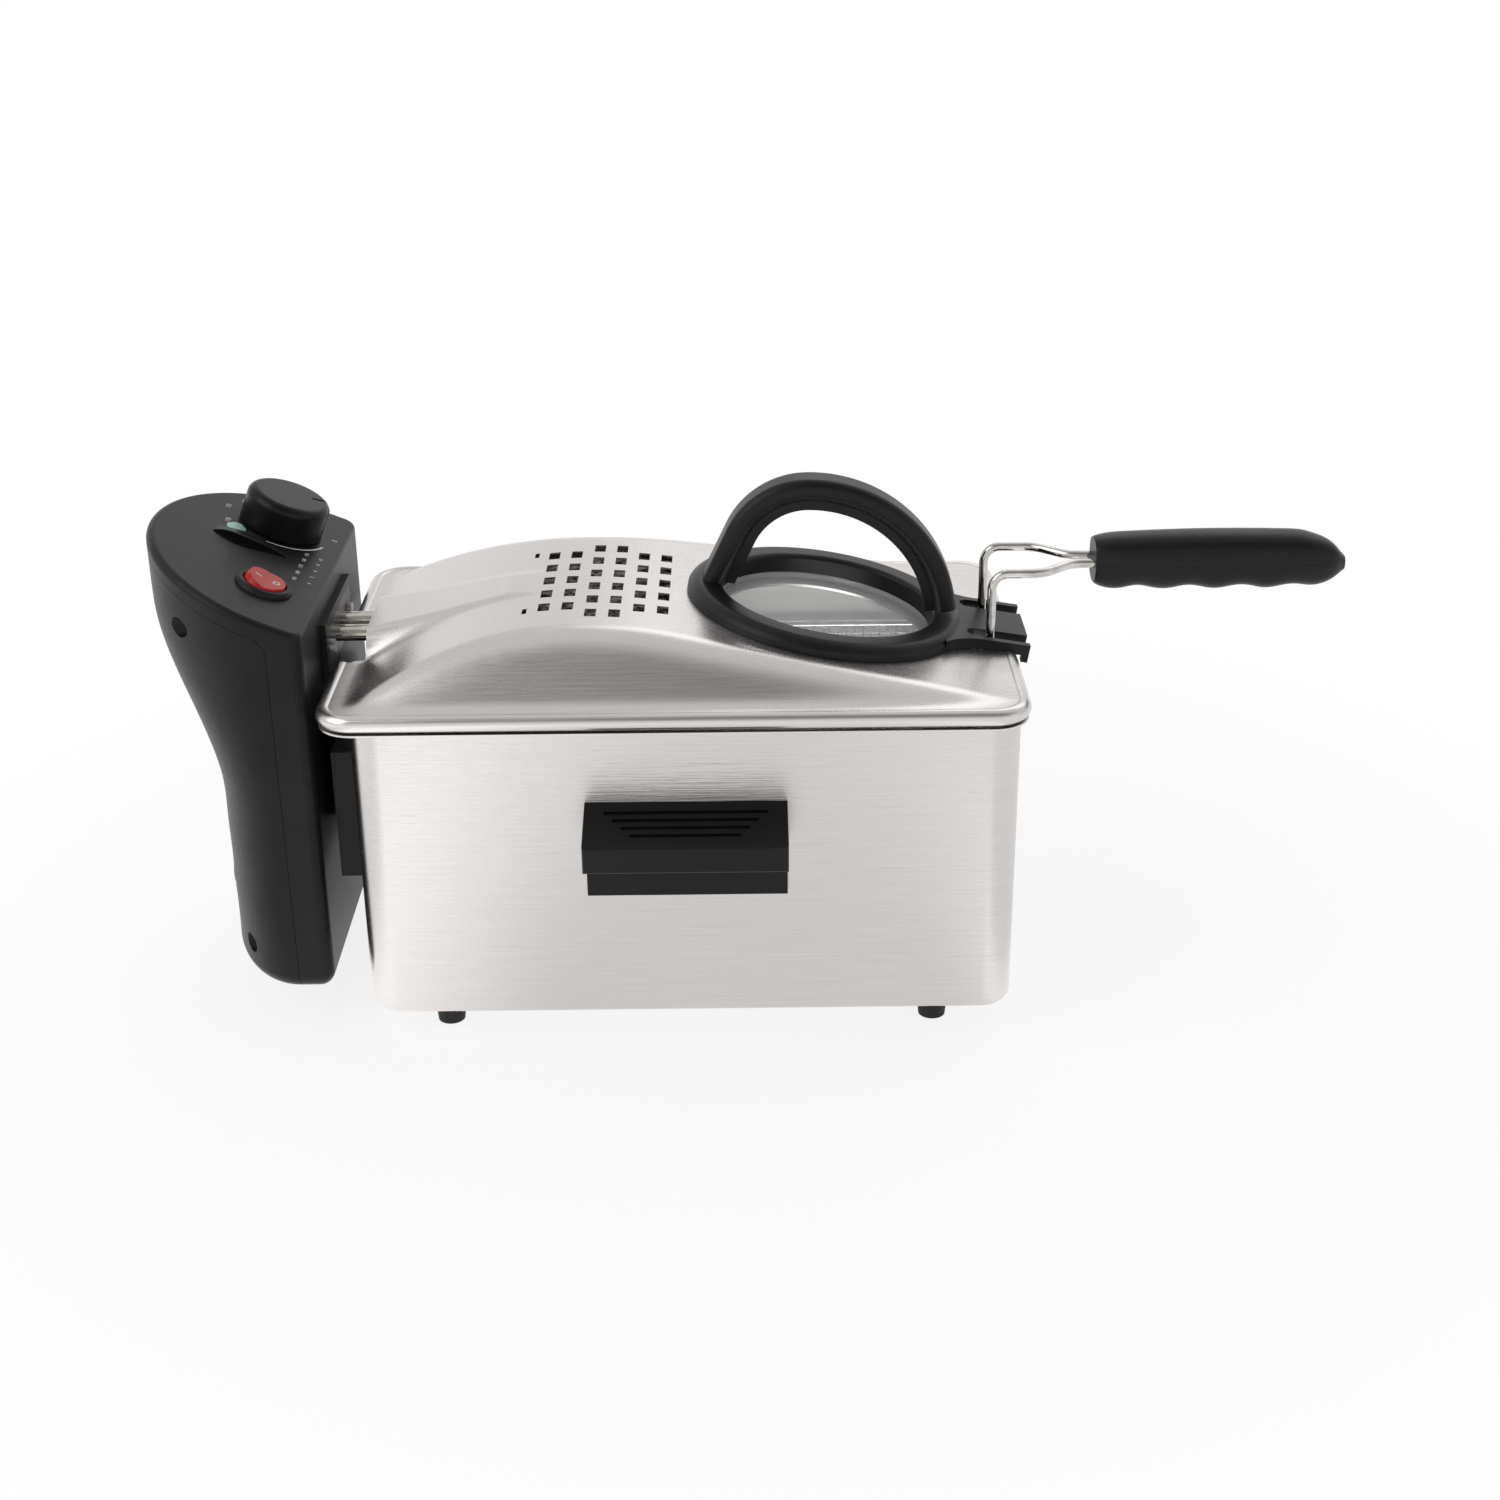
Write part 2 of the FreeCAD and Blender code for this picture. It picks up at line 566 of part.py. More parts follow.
def pad(body, sketch, length, symmetric=False, reverse=False):
    feature = body.newObject("PartDesign::Pad", body.Label + "_pad")
    feature.Profile = sketch
    feature.SideType = "Symmetric" if symmetric else "One side"
    feature.Reversed = reverse
    bind(feature, "Length", length)
    return feature


def pocket(body, sketch, length=None, symmetric=False, reverse=False):
    """Cuts against the sketch normal, through everything where no length is given."""
    feature = body.newObject("PartDesign::Pocket", body.Label + "_pocket")
    feature.Profile = sketch
    feature.SideType = "Symmetric" if symmetric else "One side"
    feature.Reversed = reverse
    if length is None:
        feature.Type = "ThroughAll"
    else:
        bind(feature, "Length", length)
    return feature


def revolve(body, sketch):
    """Turns a profile of (radius, height) about the body's Z axis."""
    feature = body.newObject("PartDesign::Revolution", body.Label + "_revolve")
    feature.Profile = sketch
    feature.ReferenceAxis = (sketch, ["V_Axis"])
    feature.Angle = 360
    return feature


def round_edges(body, base, radius, test):
    """Rounds the edges of a feature whose box passes a test."""
    doc.recompute()
    names = ["Edge%d" % (i + 1) for i, edge in enumerate(base.Shape.Edges) if test(edge.BoundBox)]
    feature = body.newObject("PartDesign::Fillet", body.Label + "_fillet")
    feature.Base = (base, names)
    bind(feature, "Radius", radius)
    return feature


def flat_at(level):
    """A test for edges that lie wholly at one height."""
    height = float(level)
    return lambda box: abs(box.ZMin - height) < 0.01 and abs(box.ZMax - height) < 0.01


def cylinder(label, radius, height, spot, direction=Vector(0, 0, 1), tilt=None):
    """A cylinder from a spot along a direction, or along the Z axis tilted about Y."""
    thing = doc.addObject("Part::Cylinder", label)
    thing.Placement = Placement(Vector(), Rotation(Vector(0, 0, 1), direction))
    bind(thing, "Radius", radius)
    bind(thing, "Height", height)
    place(thing, *spot, tilt=tilt)
    return thing


def step(spot, direction, length):
    """The spot moved by a length along an axis direction."""
    return [as_size(at) + way * length for at, way in zip(spot, direction)]


def screws(label, spots, directions, length):
    """One node of screws: each spot is under a head, and the shank runs along its direction."""
    group = []
    for number, (spot, direction) in enumerate(zip(spots, directions)):
        name = "%s_%d" % (label, number)
        shank = cylinder(name + "_shank", dim.screw_radius, length, spot, direction)
        head_spot = step(spot, direction, -dim.screw_head_height)
        head = cylinder(name + "_head", dim.screw_head, dim.screw_head_height, head_spot, direction)
        screw = doc.addObject("Part::Fuse", name)
        screw.Base = shank
        screw.Tool = head
        group.append(screw)
    node = doc.addObject("Part::Compound", label)
    node.Links = group
    return keep(node, label)


def bent_tube(points, bends, radius):
    """One tube along straight runs that tangent arcs join, with a bend radius at each inner point."""
    edges = []
    here = points[0]
    for index in range(1, len(points) - 1):
        corner = points[index]
        before = (corner - points[index - 1]).normalize()
        after = (points[index + 1] - corner).normalize()
        turn = before.getAngle(after)
        reach = bends[index - 1] * math.tan(turn / 2)
        start = corner - before * reach
        end = corner + after * reach
        inward = (after - before).normalize()
        middle = corner + inward * bends[index - 1] * (1 / math.cos(turn / 2) - 1)
        if (start - here).Length > 1e-6:
            edges.append(Part.LineSegment(here, start).toShape())
        edges.append(Part.Arc(start, middle, end).toShape())
        here = end
    edges.append(Part.LineSegment(here, points[-1]).toShape())
    path = Part.Wire(edges)
    ring = Part.Wire([Part.Circle(points[0], points[1] - points[0], radius).toShape()])
    tube = path.makePipeShell([ring], True, False)
    share = tube.Volume / (math.pi * radius * radius * path.Length)
    print("tube length %.1f, volume against section times length %.4f" % (path.Length, share))
    return tube


def rounded_ring(left, right, half, z, corner, radius):
    """A closed wire of round section along a rectangle with round corners."""
    parts = []
    along = right - left - 2 * corner
    across = 2 * (half - corner)
    for y in (-half, half):
        parts.append(Part.makeCylinder(radius, along, Vector(left + corner, y, z), Vector(1, 0, 0)))
    for x in (left, right):
        parts.append(Part.makeCylinder(radius, across, Vector(x, corner - half, z), Vector(0, 1, 0)))
    spots = ((right - corner, half - corner), (left + corner, half - corner))
    spots += ((left + corner, corner - half), (right - corner, corner - half))
    for quarter, (x, y) in enumerate(spots):
        bend = Part.makeTorus(corner, radius, Vector(), Vector(0, 0, 1), -180, 180, 90)
        bend.Placement = Placement(Vector(x, y, z), Rotation(Vector(0, 0, 1), 90 * quarter))
        parts.append(bend)
    return parts[0].multiFuse(parts[1:]).removeSplitter()


def block(x0, x1, y0, y1, z0, z1):
    """A box between two corners, as a plain shape."""
    lengths = [float(high) - float(low) for low, high in ((x0, x1), (y0, y1), (z0, z1))]
    return Part.makeBox(*lengths, Vector(x0, y0, z0))


# Places of the screws that hold the housing together.
foot_x = half_length - dim.foot_inset_x
foot_y = half_depth - dim.foot_inset_y
handle_lip_bottom = handle_top - dim.handle_drop - dim.handle_lip
handle_screw_z = handle_lip_bottom + dim.handle_boss + dim.handle_wall / 2
block_middle = (block_bottom + block_top) / 2
block_face = -(half_length + dim.block_depth)
rail_deep = block_face + dim.rail_cover + dim.rail_head_depth
corners_of_foot = [(x * foot_x, y * foot_y) for y in (-1, 1) for x in (-1, 1)]


def outer_housing():
    """The drawn steel box: round corners, a round bottom edge and an inturned bottom flange."""
    body = new_body("outer_housing")
    sheet_in = dim.housing_sheet
    sketch = new_sketch(body, "XY_Plane", housing_floor)
    rounded(sketch, -half_length, half_length, -half_depth, half_depth, dim.housing_corner)
    pad(body, sketch, dim.housing_height)
    sketch = new_sketch(body, "XY_Plane", housing_top)
    inner_length = half_length - sheet_in
    inner_depth = half_depth - sheet_in
    inner_corner = dim.housing_corner - sheet_in
    rounded(sketch, -inner_length, inner_length, -inner_depth, inner_depth, inner_corner)
    hollow = pocket(body, sketch, dim.housing_height - sheet_in)
    inside = round_edges(body, hollow, dim.housing_edge - sheet_in, flat_at(housing_floor + sheet_in))
    round_edges(body, inside, dim.housing_edge, flat_at(housing_floor))
    sketch = new_sketch(body, "XY_Plane", housing_floor + sheet_in)
    open_length = half_length - dim.base_flange
    open_depth = half_depth - dim.base_flange
    rounded(sketch, -open_length, open_length, -open_depth, open_depth, dim.housing_corner)
    pocket(body, sketch, sheet_in)
    sketch = new_sketch(body, "XY_Plane", housing_floor + sheet_in)
    for x, y in corners_of_foot:
        circle(sketch, x, y, screw_hole)
    pocket(body, sketch, sheet_in)
    sketch = new_sketch(body, "XZ_Plane")
    for side in (-1, 1):
        circle(sketch, side * dim.handle_screw_x, handle_screw_z, screw_hole)
    pocket(body, sketch, dim.housing_depth * 2, symmetric=True)
    sketch = new_sketch(body, "YZ_Plane")
    for side in (-1, 1):
        circle(sketch, side * dim.block_screw_y, block_middle, screw_hole)
    pocket(body, sketch)


def base_plate():
    """The steel plate on the bottom flange, held by the foot screws."""
    body = new_body("base_plate")
    inset = dim.housing_sheet + dim.housing_edge
    sketch = new_sketch(body, "XY_Plane", housing_floor + dim.housing_sheet)
    length = half_length - inset
    depth = half_depth - inset
    rounded(sketch, -length, length, -depth, depth, dim.housing_corner)
    pad(body, sketch, dim.base_sheet)
    sketch = new_sketch(body, "XY_Plane", housing_floor + dim.housing_sheet + dim.base_sheet)
    for x, y in corners_of_foot:
        circle(sketch, x, y, screw_hole)
    pocket(body, sketch, dim.base_sheet)


def feet():
    """Four tapered rubber feet, each with a counterbore for its screw."""
    names = ("foot_front_left", "foot_front_right", "foot_back_left", "foot_back_right")
    bore = dim.foot_height / 2
    head_hole = dim.screw_head + 3 * dim.screw_play
    taper = dim.foot_height / 11
    for name, (x, y) in zip(names, corners_of_foot):
        body = new_body(name, x, y)
        sketch = new_sketch(body, "XZ_Plane")
        outline(
            sketch,
            [
                (head_hole, 0),
                (dim.foot_radius - taper, 0),
                (dim.foot_radius, dim.foot_height),
                (screw_hole, dim.foot_height),
                (screw_hole, bore),
                (head_hole, bore),
            ],
        )
        revolve(body, sketch)
    spots = [(x, y, bore) for x, y in corners_of_foot]
    length = dim.foot_height - bore + dim.housing_sheet + dim.base_sheet * 2
    screws("foot_screws", spots, [Vector(0, 0, 1)] * 4, length)


def side_handle(name, side):
    """A moulded grip with a wall plate and a hollow sloping hood, open below for the fingers."""
    body = new_body(name)

    def out(distance):
        return side * (half_depth + distance)

    hood = dim.handle_reach
    wall = dim.handle_wall
    slope = root(hood * hood + dim.handle_drop * dim.handle_drop)
    shoulder = handle_top - dim.handle_drop
    cheek = [
        (out(0), handle_lip_bottom),
        (out(0), handle_top),
        (out(hood), shoulder),
        (out(hood), handle_lip_bottom),
    ]
    sketch = new_sketch(body, "YZ_Plane")
    outline(sketch, cheek)
    solid = pad(body, sketch, dim.handle_width, symmetric=True)
    reach = abs(float(out(hood)))
    round_edges(body, solid, dim.handle_edge, lambda box: min(abs(box.YMin), abs(box.YMax)) > reach - 0.01)
    hollow = [
        (out(wall), handle_lip_bottom - wall),
        (out(wall), handle_top - wall * 1.25),
        (out(hood - wall), shoulder - wall * 1.05),
        (out(hood - wall), handle_lip_bottom - wall),
    ]
    sketch = new_sketch(body, "YZ_Plane")
    outline(sketch, hollow)
    pocket(body, sketch, dim.handle_width - 2 * wall, symmetric=True)
    sketch = new_sketch(body, "YZ_Plane")
    plate = [
        (out(0), handle_bottom),
        (out(0), handle_lip_bottom + wall),
        (out(wall), handle_lip_bottom + wall),
        (out(wall), handle_bottom),
    ]
    outline(sketch, plate)
    pad(body, sketch, dim.handle_width, symmetric=True)
    sketch = new_sketch(body, "XZ_Plane", -side * half_depth)
    for end in (-1, 1):
        circle(sketch, end * dim.handle_screw_x, handle_screw_z, dim.handle_boss)
    pad(body, sketch, hood / 2, reverse=side > 0)
    sketch = new_sketch(body, "XZ_Plane", -side * half_depth)
    for end in (-1, 1):
        circle(sketch, end * dim.handle_screw_x, handle_screw_z, screw_hole)
    pocket(body, sketch, hood / 3, reverse=side < 0)
    for groove in range(4):
        along = (dim.handle_groove_pitch * groove + hood / 4) / slope
        half = dim.handle_groove_width / 2 / slope
        deep = dim.handle_groove_depth / slope
        quad = []
        for share, sink in ((along - half, -1), (along + half, -1), (along + half, 1), (along - half, 1)):
            distance = hood * share - dim.handle_drop * deep * sink
            height = handle_top - dim.handle_drop * share - hood * deep * sink
            quad.append((out(distance), height))
        sketch = new_sketch(body, "YZ_Plane")
        outline(sketch, quad)
        pocket(body, sketch, dim.handle_groove_length - dim.handle_groove_step * groove, symmetric=True)


def side_handles():
    side_handle("side_handle_front", -1)
    side_handle("side_handle_back", 1)
    inside = half_depth - dim.housing_sheet
    length = dim.housing_sheet + dim.handle_reach / 4
    sides = (-1, -1, 1, 1)
    ends = (-1, 1, -1, 1)
    spots = [(end * dim.handle_screw_x, side * inside, handle_screw_z) for side, end in zip(sides, ends)]
    screws("side_handle_screws", spots, [Vector(0, side, 0) for side in sides], length)


def mounting_block():
    """The moulded block on the housing wall, with an upright slot that takes the rail of the control unit."""
    body = new_body("mounting_block")
    sketch = new_sketch(body, "YZ_Plane", -half_length)
    half = dim.block_half
    outline(
        sketch,
        [(-half, block_bottom), (half, block_bottom), (half, block_top), (-half, block_top)],
    )
    pad(body, sketch, dim.block_depth, reverse=True)
    sketch = new_sketch(body, "XY_Plane", block_top)
    neck = dim.rail_neck / 2
    head = dim.rail_head / 2
    step_x = block_face + dim.rail_cover
    outline(
        sketch,
        [
            (block_face - dim.rail_play, -neck),
            (step_x, -neck),
            (step_x, -head),
            (rail_deep, -head),
            (rail_deep, head),
            (step_x, head),
            (step_x, neck),
            (block_face - dim.rail_play, neck),
        ],
    )
    pocket(body, sketch, block_top - block_bottom - dim.block_floor)
    sketch = new_sketch(body, "YZ_Plane", -half_length)
    for side in (-1, 1):
        circle(sketch, side * dim.block_screw_y, block_middle, screw_hole)
    pocket(body, sketch, dim.block_depth * 0.7)
    spots = [(dim.housing_sheet - half_length, side * dim.block_screw_y, block_middle) for side in (-1, 1)]
    screws("mounting_block_screws", spots, [Vector(-1, 0, 0)] * 2, dim.block_depth * 0.65)


def oil_pot():
    """The drawn pot: straight walls, a round floor edge and a wide rim, notched for the hanging rail."""
    body = new_body("oil_pot")
    inset = dim.pot_rim_inset
    sketch = new_sketch(body, "XY_Plane", housing_top)
    rounded(sketch, lid_left + inset, lid_right - inset, inset - lid_half, lid_half - inset, dim.lid_corner - inset)
    pad(body, sketch, dim.pot_sheet)
    sketch = new_sketch(body, "XY_Plane", housing_top)
    rounded(sketch, -pot_half_length, pot_half_length, -pot_half_depth, pot_half_depth, dim.pot_corner)
    pad(body, sketch, pot_depth, reverse=True)
    sketch = new_sketch(body, "XY_Plane", rim_top)
    length = pot_half_length - dim.pot_sheet
    depth = pot_half_depth - dim.pot_sheet
    rounded(sketch, -length, length, -depth, depth, dim.pot_corner - dim.pot_sheet)
    hollow = pocket(body, sketch, pot_depth)
    inside = round_edges(body, hollow, dim.pot_floor_edge - dim.pot_sheet, flat_at(pot_floor + dim.pot_sheet))
    round_edges(body, inside, dim.pot_floor_edge, flat_at(pot_floor))
    sketch = new_sketch(body, "XY_Plane", rim_top)
    rail = rail_deep + dim.rim_notch_play
    half = dim.rail_head / 2 + dim.rim_notch_play
    outline(sketch, [(lid_left, -half), (rail, -half), (rail, half), (lid_left, half)])
    pocket(body, sketch, dim.pot_sheet)


def smooth_step(low, high, value):
    """Runs from 0 to 1 between two values, level at both ends."""
    share = min(max((value - low) / (high - low), 0), 1)
    return share * share * (3 - 2 * share)


def control_form(inset):
    """The solid form of the control unit, a D in plan that swells to its head, drawn in by an inset."""
    bottom = float(dim.control_bottom) + inset
    swell_start = float(leg_top)
    swell_end = float(head_bottom)
    top = float(on_deck((dim.inner_depth + dim.head_bulge) / cosine(dim.deck_tilt), 0, 0)[2]) + inset
    section_count = 14
    levels = [bottom + (top - bottom) * number / section_count for number in range(section_count + 1)]
    half = float(dim.control_half) - inset
    seam = float(seam_x)
    face = float(control_face) - inset
    wires = []
    for z in levels:
        growth = smooth_step(swell_start, swell_end, z)
        depth = float(dim.leg_bulge) + float(dim.head_bulge - dim.leg_bulge) * growth - inset
        middle = Vector(seam, 0, z)
        bow = Part.Ellipse(Vector(seam, half, z), Vector(seam - depth, 0, z), middle)
        edges = [Part.ArcOfEllipse(bow, 0, math.pi).toShape()]
        corners = [Vector(seam, -half, z), Vector(face, -half, z), Vector(face, half, z), Vector(seam, half, z)]
        edges += [Part.LineSegment(a, b).toShape() for a, b in zip(corners, corners[1:])]
        wires.append(Part.Wire(edges))
    form = Part.makeLoft(wires, True, False)
    upright = [edge for edge in form.Edges if edge.BoundBox.XMin > face - 0.01 and edge.BoundBox.YLength < 0.01]
    form = form.makeFillet(float(dim.cover_corner) - inset, upright)
    foot = [edge for edge in form.Edges if edge.BoundBox.ZMax < bottom + 0.01]
    form = form.makeFillet(float(dim.control_edge) - inset, foot)
    return form.common(under_deck(-inset))


def under_deck(level):
    """Everything below the plane that lies a level above the deck."""
    size = 2 * float(left_reach)
    box = Part.makeBox(size, size, size, Vector(-size / 2, -size / 2, level - size))
    spot = Vector(*[float(at) for at in on_deck(0, 0, 0)])
    box.Placement = Placement(spot, Rotation(Vector(0, 1, 0), float(dim.deck_tilt)))
    return box


def deck_cylinder(radius, u, v, low, high):
    """A cylinder square to the deck, between two heights above it."""
    spot = Vector(*[float(at) for at in on_deck(u, v, low)])
    direction = Rotation(Vector(0, 1, 0), float(dim.deck_tilt)).multVec(Vector(0, 0, 1))
    return Part.makeCylinder(radius, float(high) - float(low), spot, direction)


cover_screw_spots = []
for row_y, row_z, row_face in (
    (dim.upper_screw_y, upper_screw_z, dim.upper_boss),
    (dim.lower_screw_y, lower_screw_z, dim.lower_boss),
):
    for row_side in (-1, 1):
        cover_screw_spots.append((seam_x - row_face, row_side * row_y, row_z))


def control_covers():
    """The two moulded shells of the control unit: inner cover with the deck, and bulging outer cover."""
    wall = float(dim.control_wall)
    form = control_form(0)
    deck_low = float(deck_height) - 0.1
    deck = [face for face in form.Faces if face.BoundBox.ZMin > deck_low]
    deck_edges = [edge for face in deck for edge in face.Edges if edge.BoundBox.XMax < float(control_face) - 0.1]
    form = form.makeFillet(float(dim.deck_edge), deck_edges)
    far = 2 * float(left_reach)
    toward = Vector(-1, 0, 0)
    joints = [Vector(*[float(at) for at in spot]) for spot in cover_screw_spots]
    posts = [Part.makeCylinder(dim.cover_boss, far, Vector(control_face, at.y, at.z), toward) for at in joints]
    hollow = form.cut(control_form(wall).cut(Part.makeCompound(posts)))

    def outer_zone(gap):
        """The outer side of the seam, round where the seam turns down, less the bosses up to their joint faces."""
        zone = block(-far, seam_x - gap, -far, far, -far, far).common(under_deck(-float(dim.deck_band) - gap))
        turn = [edge for edge in zone.Edges if edge.BoundBox.XMin > float(seam_x) - gap - 0.01]
        turn = [edge for edge in turn if edge.BoundBox.ZMin > 0]
        zone = zone.makeFillet(float(dim.seam_corner) - gap, turn)
        reach = float(dim.cover_boss + dim.screw_radius)
        for at in joints:
            zone = zone.cut(block(at.x - gap, 0, at.y - reach, at.y + reach, at.z - reach, at.z + reach))
        return zone

    half_gap = float(dim.seam_gap) / 2
    inner = hollow.cut(outer_zone(-half_gap))
    outer = hollow.common(outer_zone(half_gap))
    for at in joints:
        outer = outer.cut(Part.makeCylinder(dim.cover_recess, far, at + toward * float(dim.boss_floor), toward))
        outer = outer.cut(Part.makeCylinder(screw_hole, far, at, toward))
        inner = inner.cut(Part.makeCylinder(screw_hole, dim.lower_boss, at, -toward))
    reset = Vector(seam_x, -float(dim.reset_y), reset_z)
    outer = outer.cut(Part.makeCylinder(dim.reset_hole, far, reset, toward))
    gland = Vector(seam_x, 0, gland_z)
    outer = outer.cut(Part.makeCylinder(dim.gland_radius + dim.fit_gap, far, gland, toward))
    formed("outer_cover", outer)
    inner = inner.fuse(hanging_rail()).fuse(plate_frame())
    inner = inner.cut(plate_window())
    for side in (-1, 1):
        spot = Vector(control_face, side * float(dim.plate_screw_y), tube_z)
        inner = inner.cut(Part.makeCylinder(screw_hole, 4 * wall, spot + toward * 2 * wall, -toward))
    for hole, u, v in (
        (dim.neck_radius, dim.knob_u, dim.knob_y),
        (dim.switch_barrel, dim.switch_u, -dim.switch_y),
        (dim.light_stem, dim.light_u, dim.light_y),
    ):
        inner = inner.cut(deck_cylinder(hole + dim.fit_gap, u, v, -2 * wall, wall))
    formed("inner_cover", inner)


def hanging_rail():
    """The T rail that slides down into the mounting block."""
    neck = (dim.rail_neck / 2) - dim.rail_play
    head = (dim.rail_head / 2) - dim.rail_play
    low = block_bottom + dim.block_floor + dim.rail_play
    high = block_top - dim.rail_play
    step_x = block_face + dim.rail_cover + dim.rail_play
    deep = rail_deep - dim.rail_play
    stem = block(control_face - dim.control_wall / 2, deep, -neck, neck, low, high)
    return stem.fuse(block(step_x, deep, -head, head, low, high))


plate_low = tube_z - dim.plate_height / 2
plate_front = control_face + 1 + dim.plate_sheet


def plate_frame():
    """The raised frame that the element plate sits in."""
    half = dim.plate_half + dim.plate_frame
    low = plate_low - dim.plate_frame
    high = plate_low + dim.plate_height + dim.plate_frame
    frame = block(control_face - dim.control_wall / 2, plate_front, -half, half, low, high)
    half = dim.plate_half + dim.fit_gap
    low = plate_low - dim.fit_gap
    high = plate_low + dim.plate_height + dim.fit_gap
    return frame.cut(block(plate_front - dim.plate_sheet, plate_front + 1, -half, half, low, high))


def plate_window():
    """The opening behind the element plate for the tubes and the sensor capillaries."""
    side = dim.tube_y + dim.tube_radius * 2
    back = dim.cutout_probe_y + dim.probe_wire * 2
    high = dim.tube_radius * 2
    deep = control_face - dim.control_wall * 2
    return block(deep, plate_front - dim.plate_sheet, -side, back, tube_z - high, tube_z + high)


def cover_screws():
    spots = [(x - dim.boss_floor, y, z) for x, y, z in cover_screw_spots]
    screws("cover_screws", spots, [Vector(1, 0, 0)] * 4, dim.boss_floor + dim.lower_boss * 0.8)


def element_plate():
    """The steel plate that the element tubes and the sensor capillaries pass through."""
    body = new_body("element_plate")
    sketch = new_sketch(body, "YZ_Plane", plate_front - dim.plate_sheet)
    half = dim.plate_half
    high = plate_low + dim.plate_height
    outline(sketch, [(-half, plate_low), (half, plate_low), (half, high), (-half, high)])
    pad(body, sketch, dim.plate_sheet)
    sketch = new_sketch(body, "YZ_Plane", plate_front)
    for side in (-1, 1):
        circle(sketch, side * dim.tube_y, tube_z, dim.tube_radius + dim.fit_gap)
        circle(sketch, side * dim.plate_screw_y, tube_z, screw_hole)
    for y in (0, dim.cutout_probe_y):
        circle(sketch, y, tube_z, dim.probe_wire + dim.fit_gap)
    pocket(body, sketch, dim.plate_sheet)
    spots = [(plate_front, side * dim.plate_screw_y, tube_z) for side in (-1, 1)]
    screws("element_plate_screws", spots, [Vector(-1, 0, 0)] * 2, dim.plate_sheet + dim.control_wall * 2)


def heating_element():
    """One bent tube: in over the rim, down the end of the pot, round the floor in four runs and out again."""
    y = float(dim.tube_y)
    z = float(element_z)
    outer = float(dim.loop_outer)
    inner = float(dim.loop_inner)
    right = float(loop_right)
    left = -float(loop_left)
    drop = float(leg_drop_x)
    leg_bend = float(dim.tube_bend)
    loop_bend = float(dim.loop_bend)
    turn_out = (outer - inner) / 2
    spread = drop + leg_bend + 2 * loop_bend
    start = Vector(control_face - dim.tube_cold_end, y, tube_z)
    half = [start, Vector(drop, y, tube_z), Vector(drop, y, z), Vector(spread, y, z), Vector(spread, outer, z)]
    half += [Vector(right + turn_out, outer, z), Vector(right + turn_out, inner, z), Vector(left - inner, inner, z)]
    bends = [leg_bend, leg_bend, loop_bend, loop_bend, turn_out, turn_out, inner]
    points = half + [Vector(point.x, -point.y, point.z) for point in reversed(half)]
    nudge = 0.999
    bends = [bend * nudge for bend in bends]
    formed("heating_element", bent_tube(points, bends + bends[::-1], float(dim.tube_radius)))


def probe(label, y):
    """A thin capillary over the rim that ends in a thicker sensor bulb inside the pot."""
    drop = float(leg_drop_x)
    top = float(probe_top)
    start = Vector(control_face - dim.tube_cold_end / 2, y, tube_z)
    points = [start, Vector(drop, y, tube_z), Vector(drop, y, top)]
    capillary = bent_tube(points, [float(dim.tube_bend)], float(dim.probe_wire))
    bulb = Part.makeCylinder(dim.probe_radius, dim.probe_length, Vector(drop, y, top), Vector(0, 0, -1))
    formed(label, capillary.fuse(bulb))


def probes():
    probe("thermostat_probe", 0.0)
    probe("cutout_probe", float(dim.cutout_probe_y))
    body = new_body("probe_clip", leg_drop_x, 0, clip_z)
    sketch = new_sketch(body, "XY_Plane")
    reach = dim.tube_radius + dim.clip_margin
    front = -dim.tube_y - reach
    back = dim.cutout_probe_y + reach
    outline(sketch, [(-reach, front), (reach, front), (reach, back), (-reach, back)])
    pad(body, sketch, dim.clip_sheet)
    sketch = new_sketch(body, "XY_Plane", dim.clip_sheet)
    for side in (-1, 1):
        circle(sketch, 0, side * dim.tube_y, dim.tube_radius + dim.fit_gap)
    for y in (0, dim.cutout_probe_y):
        circle(sketch, 0, y, dim.probe_radius + dim.fit_gap)
    pocket(body, sketch, dim.clip_sheet)


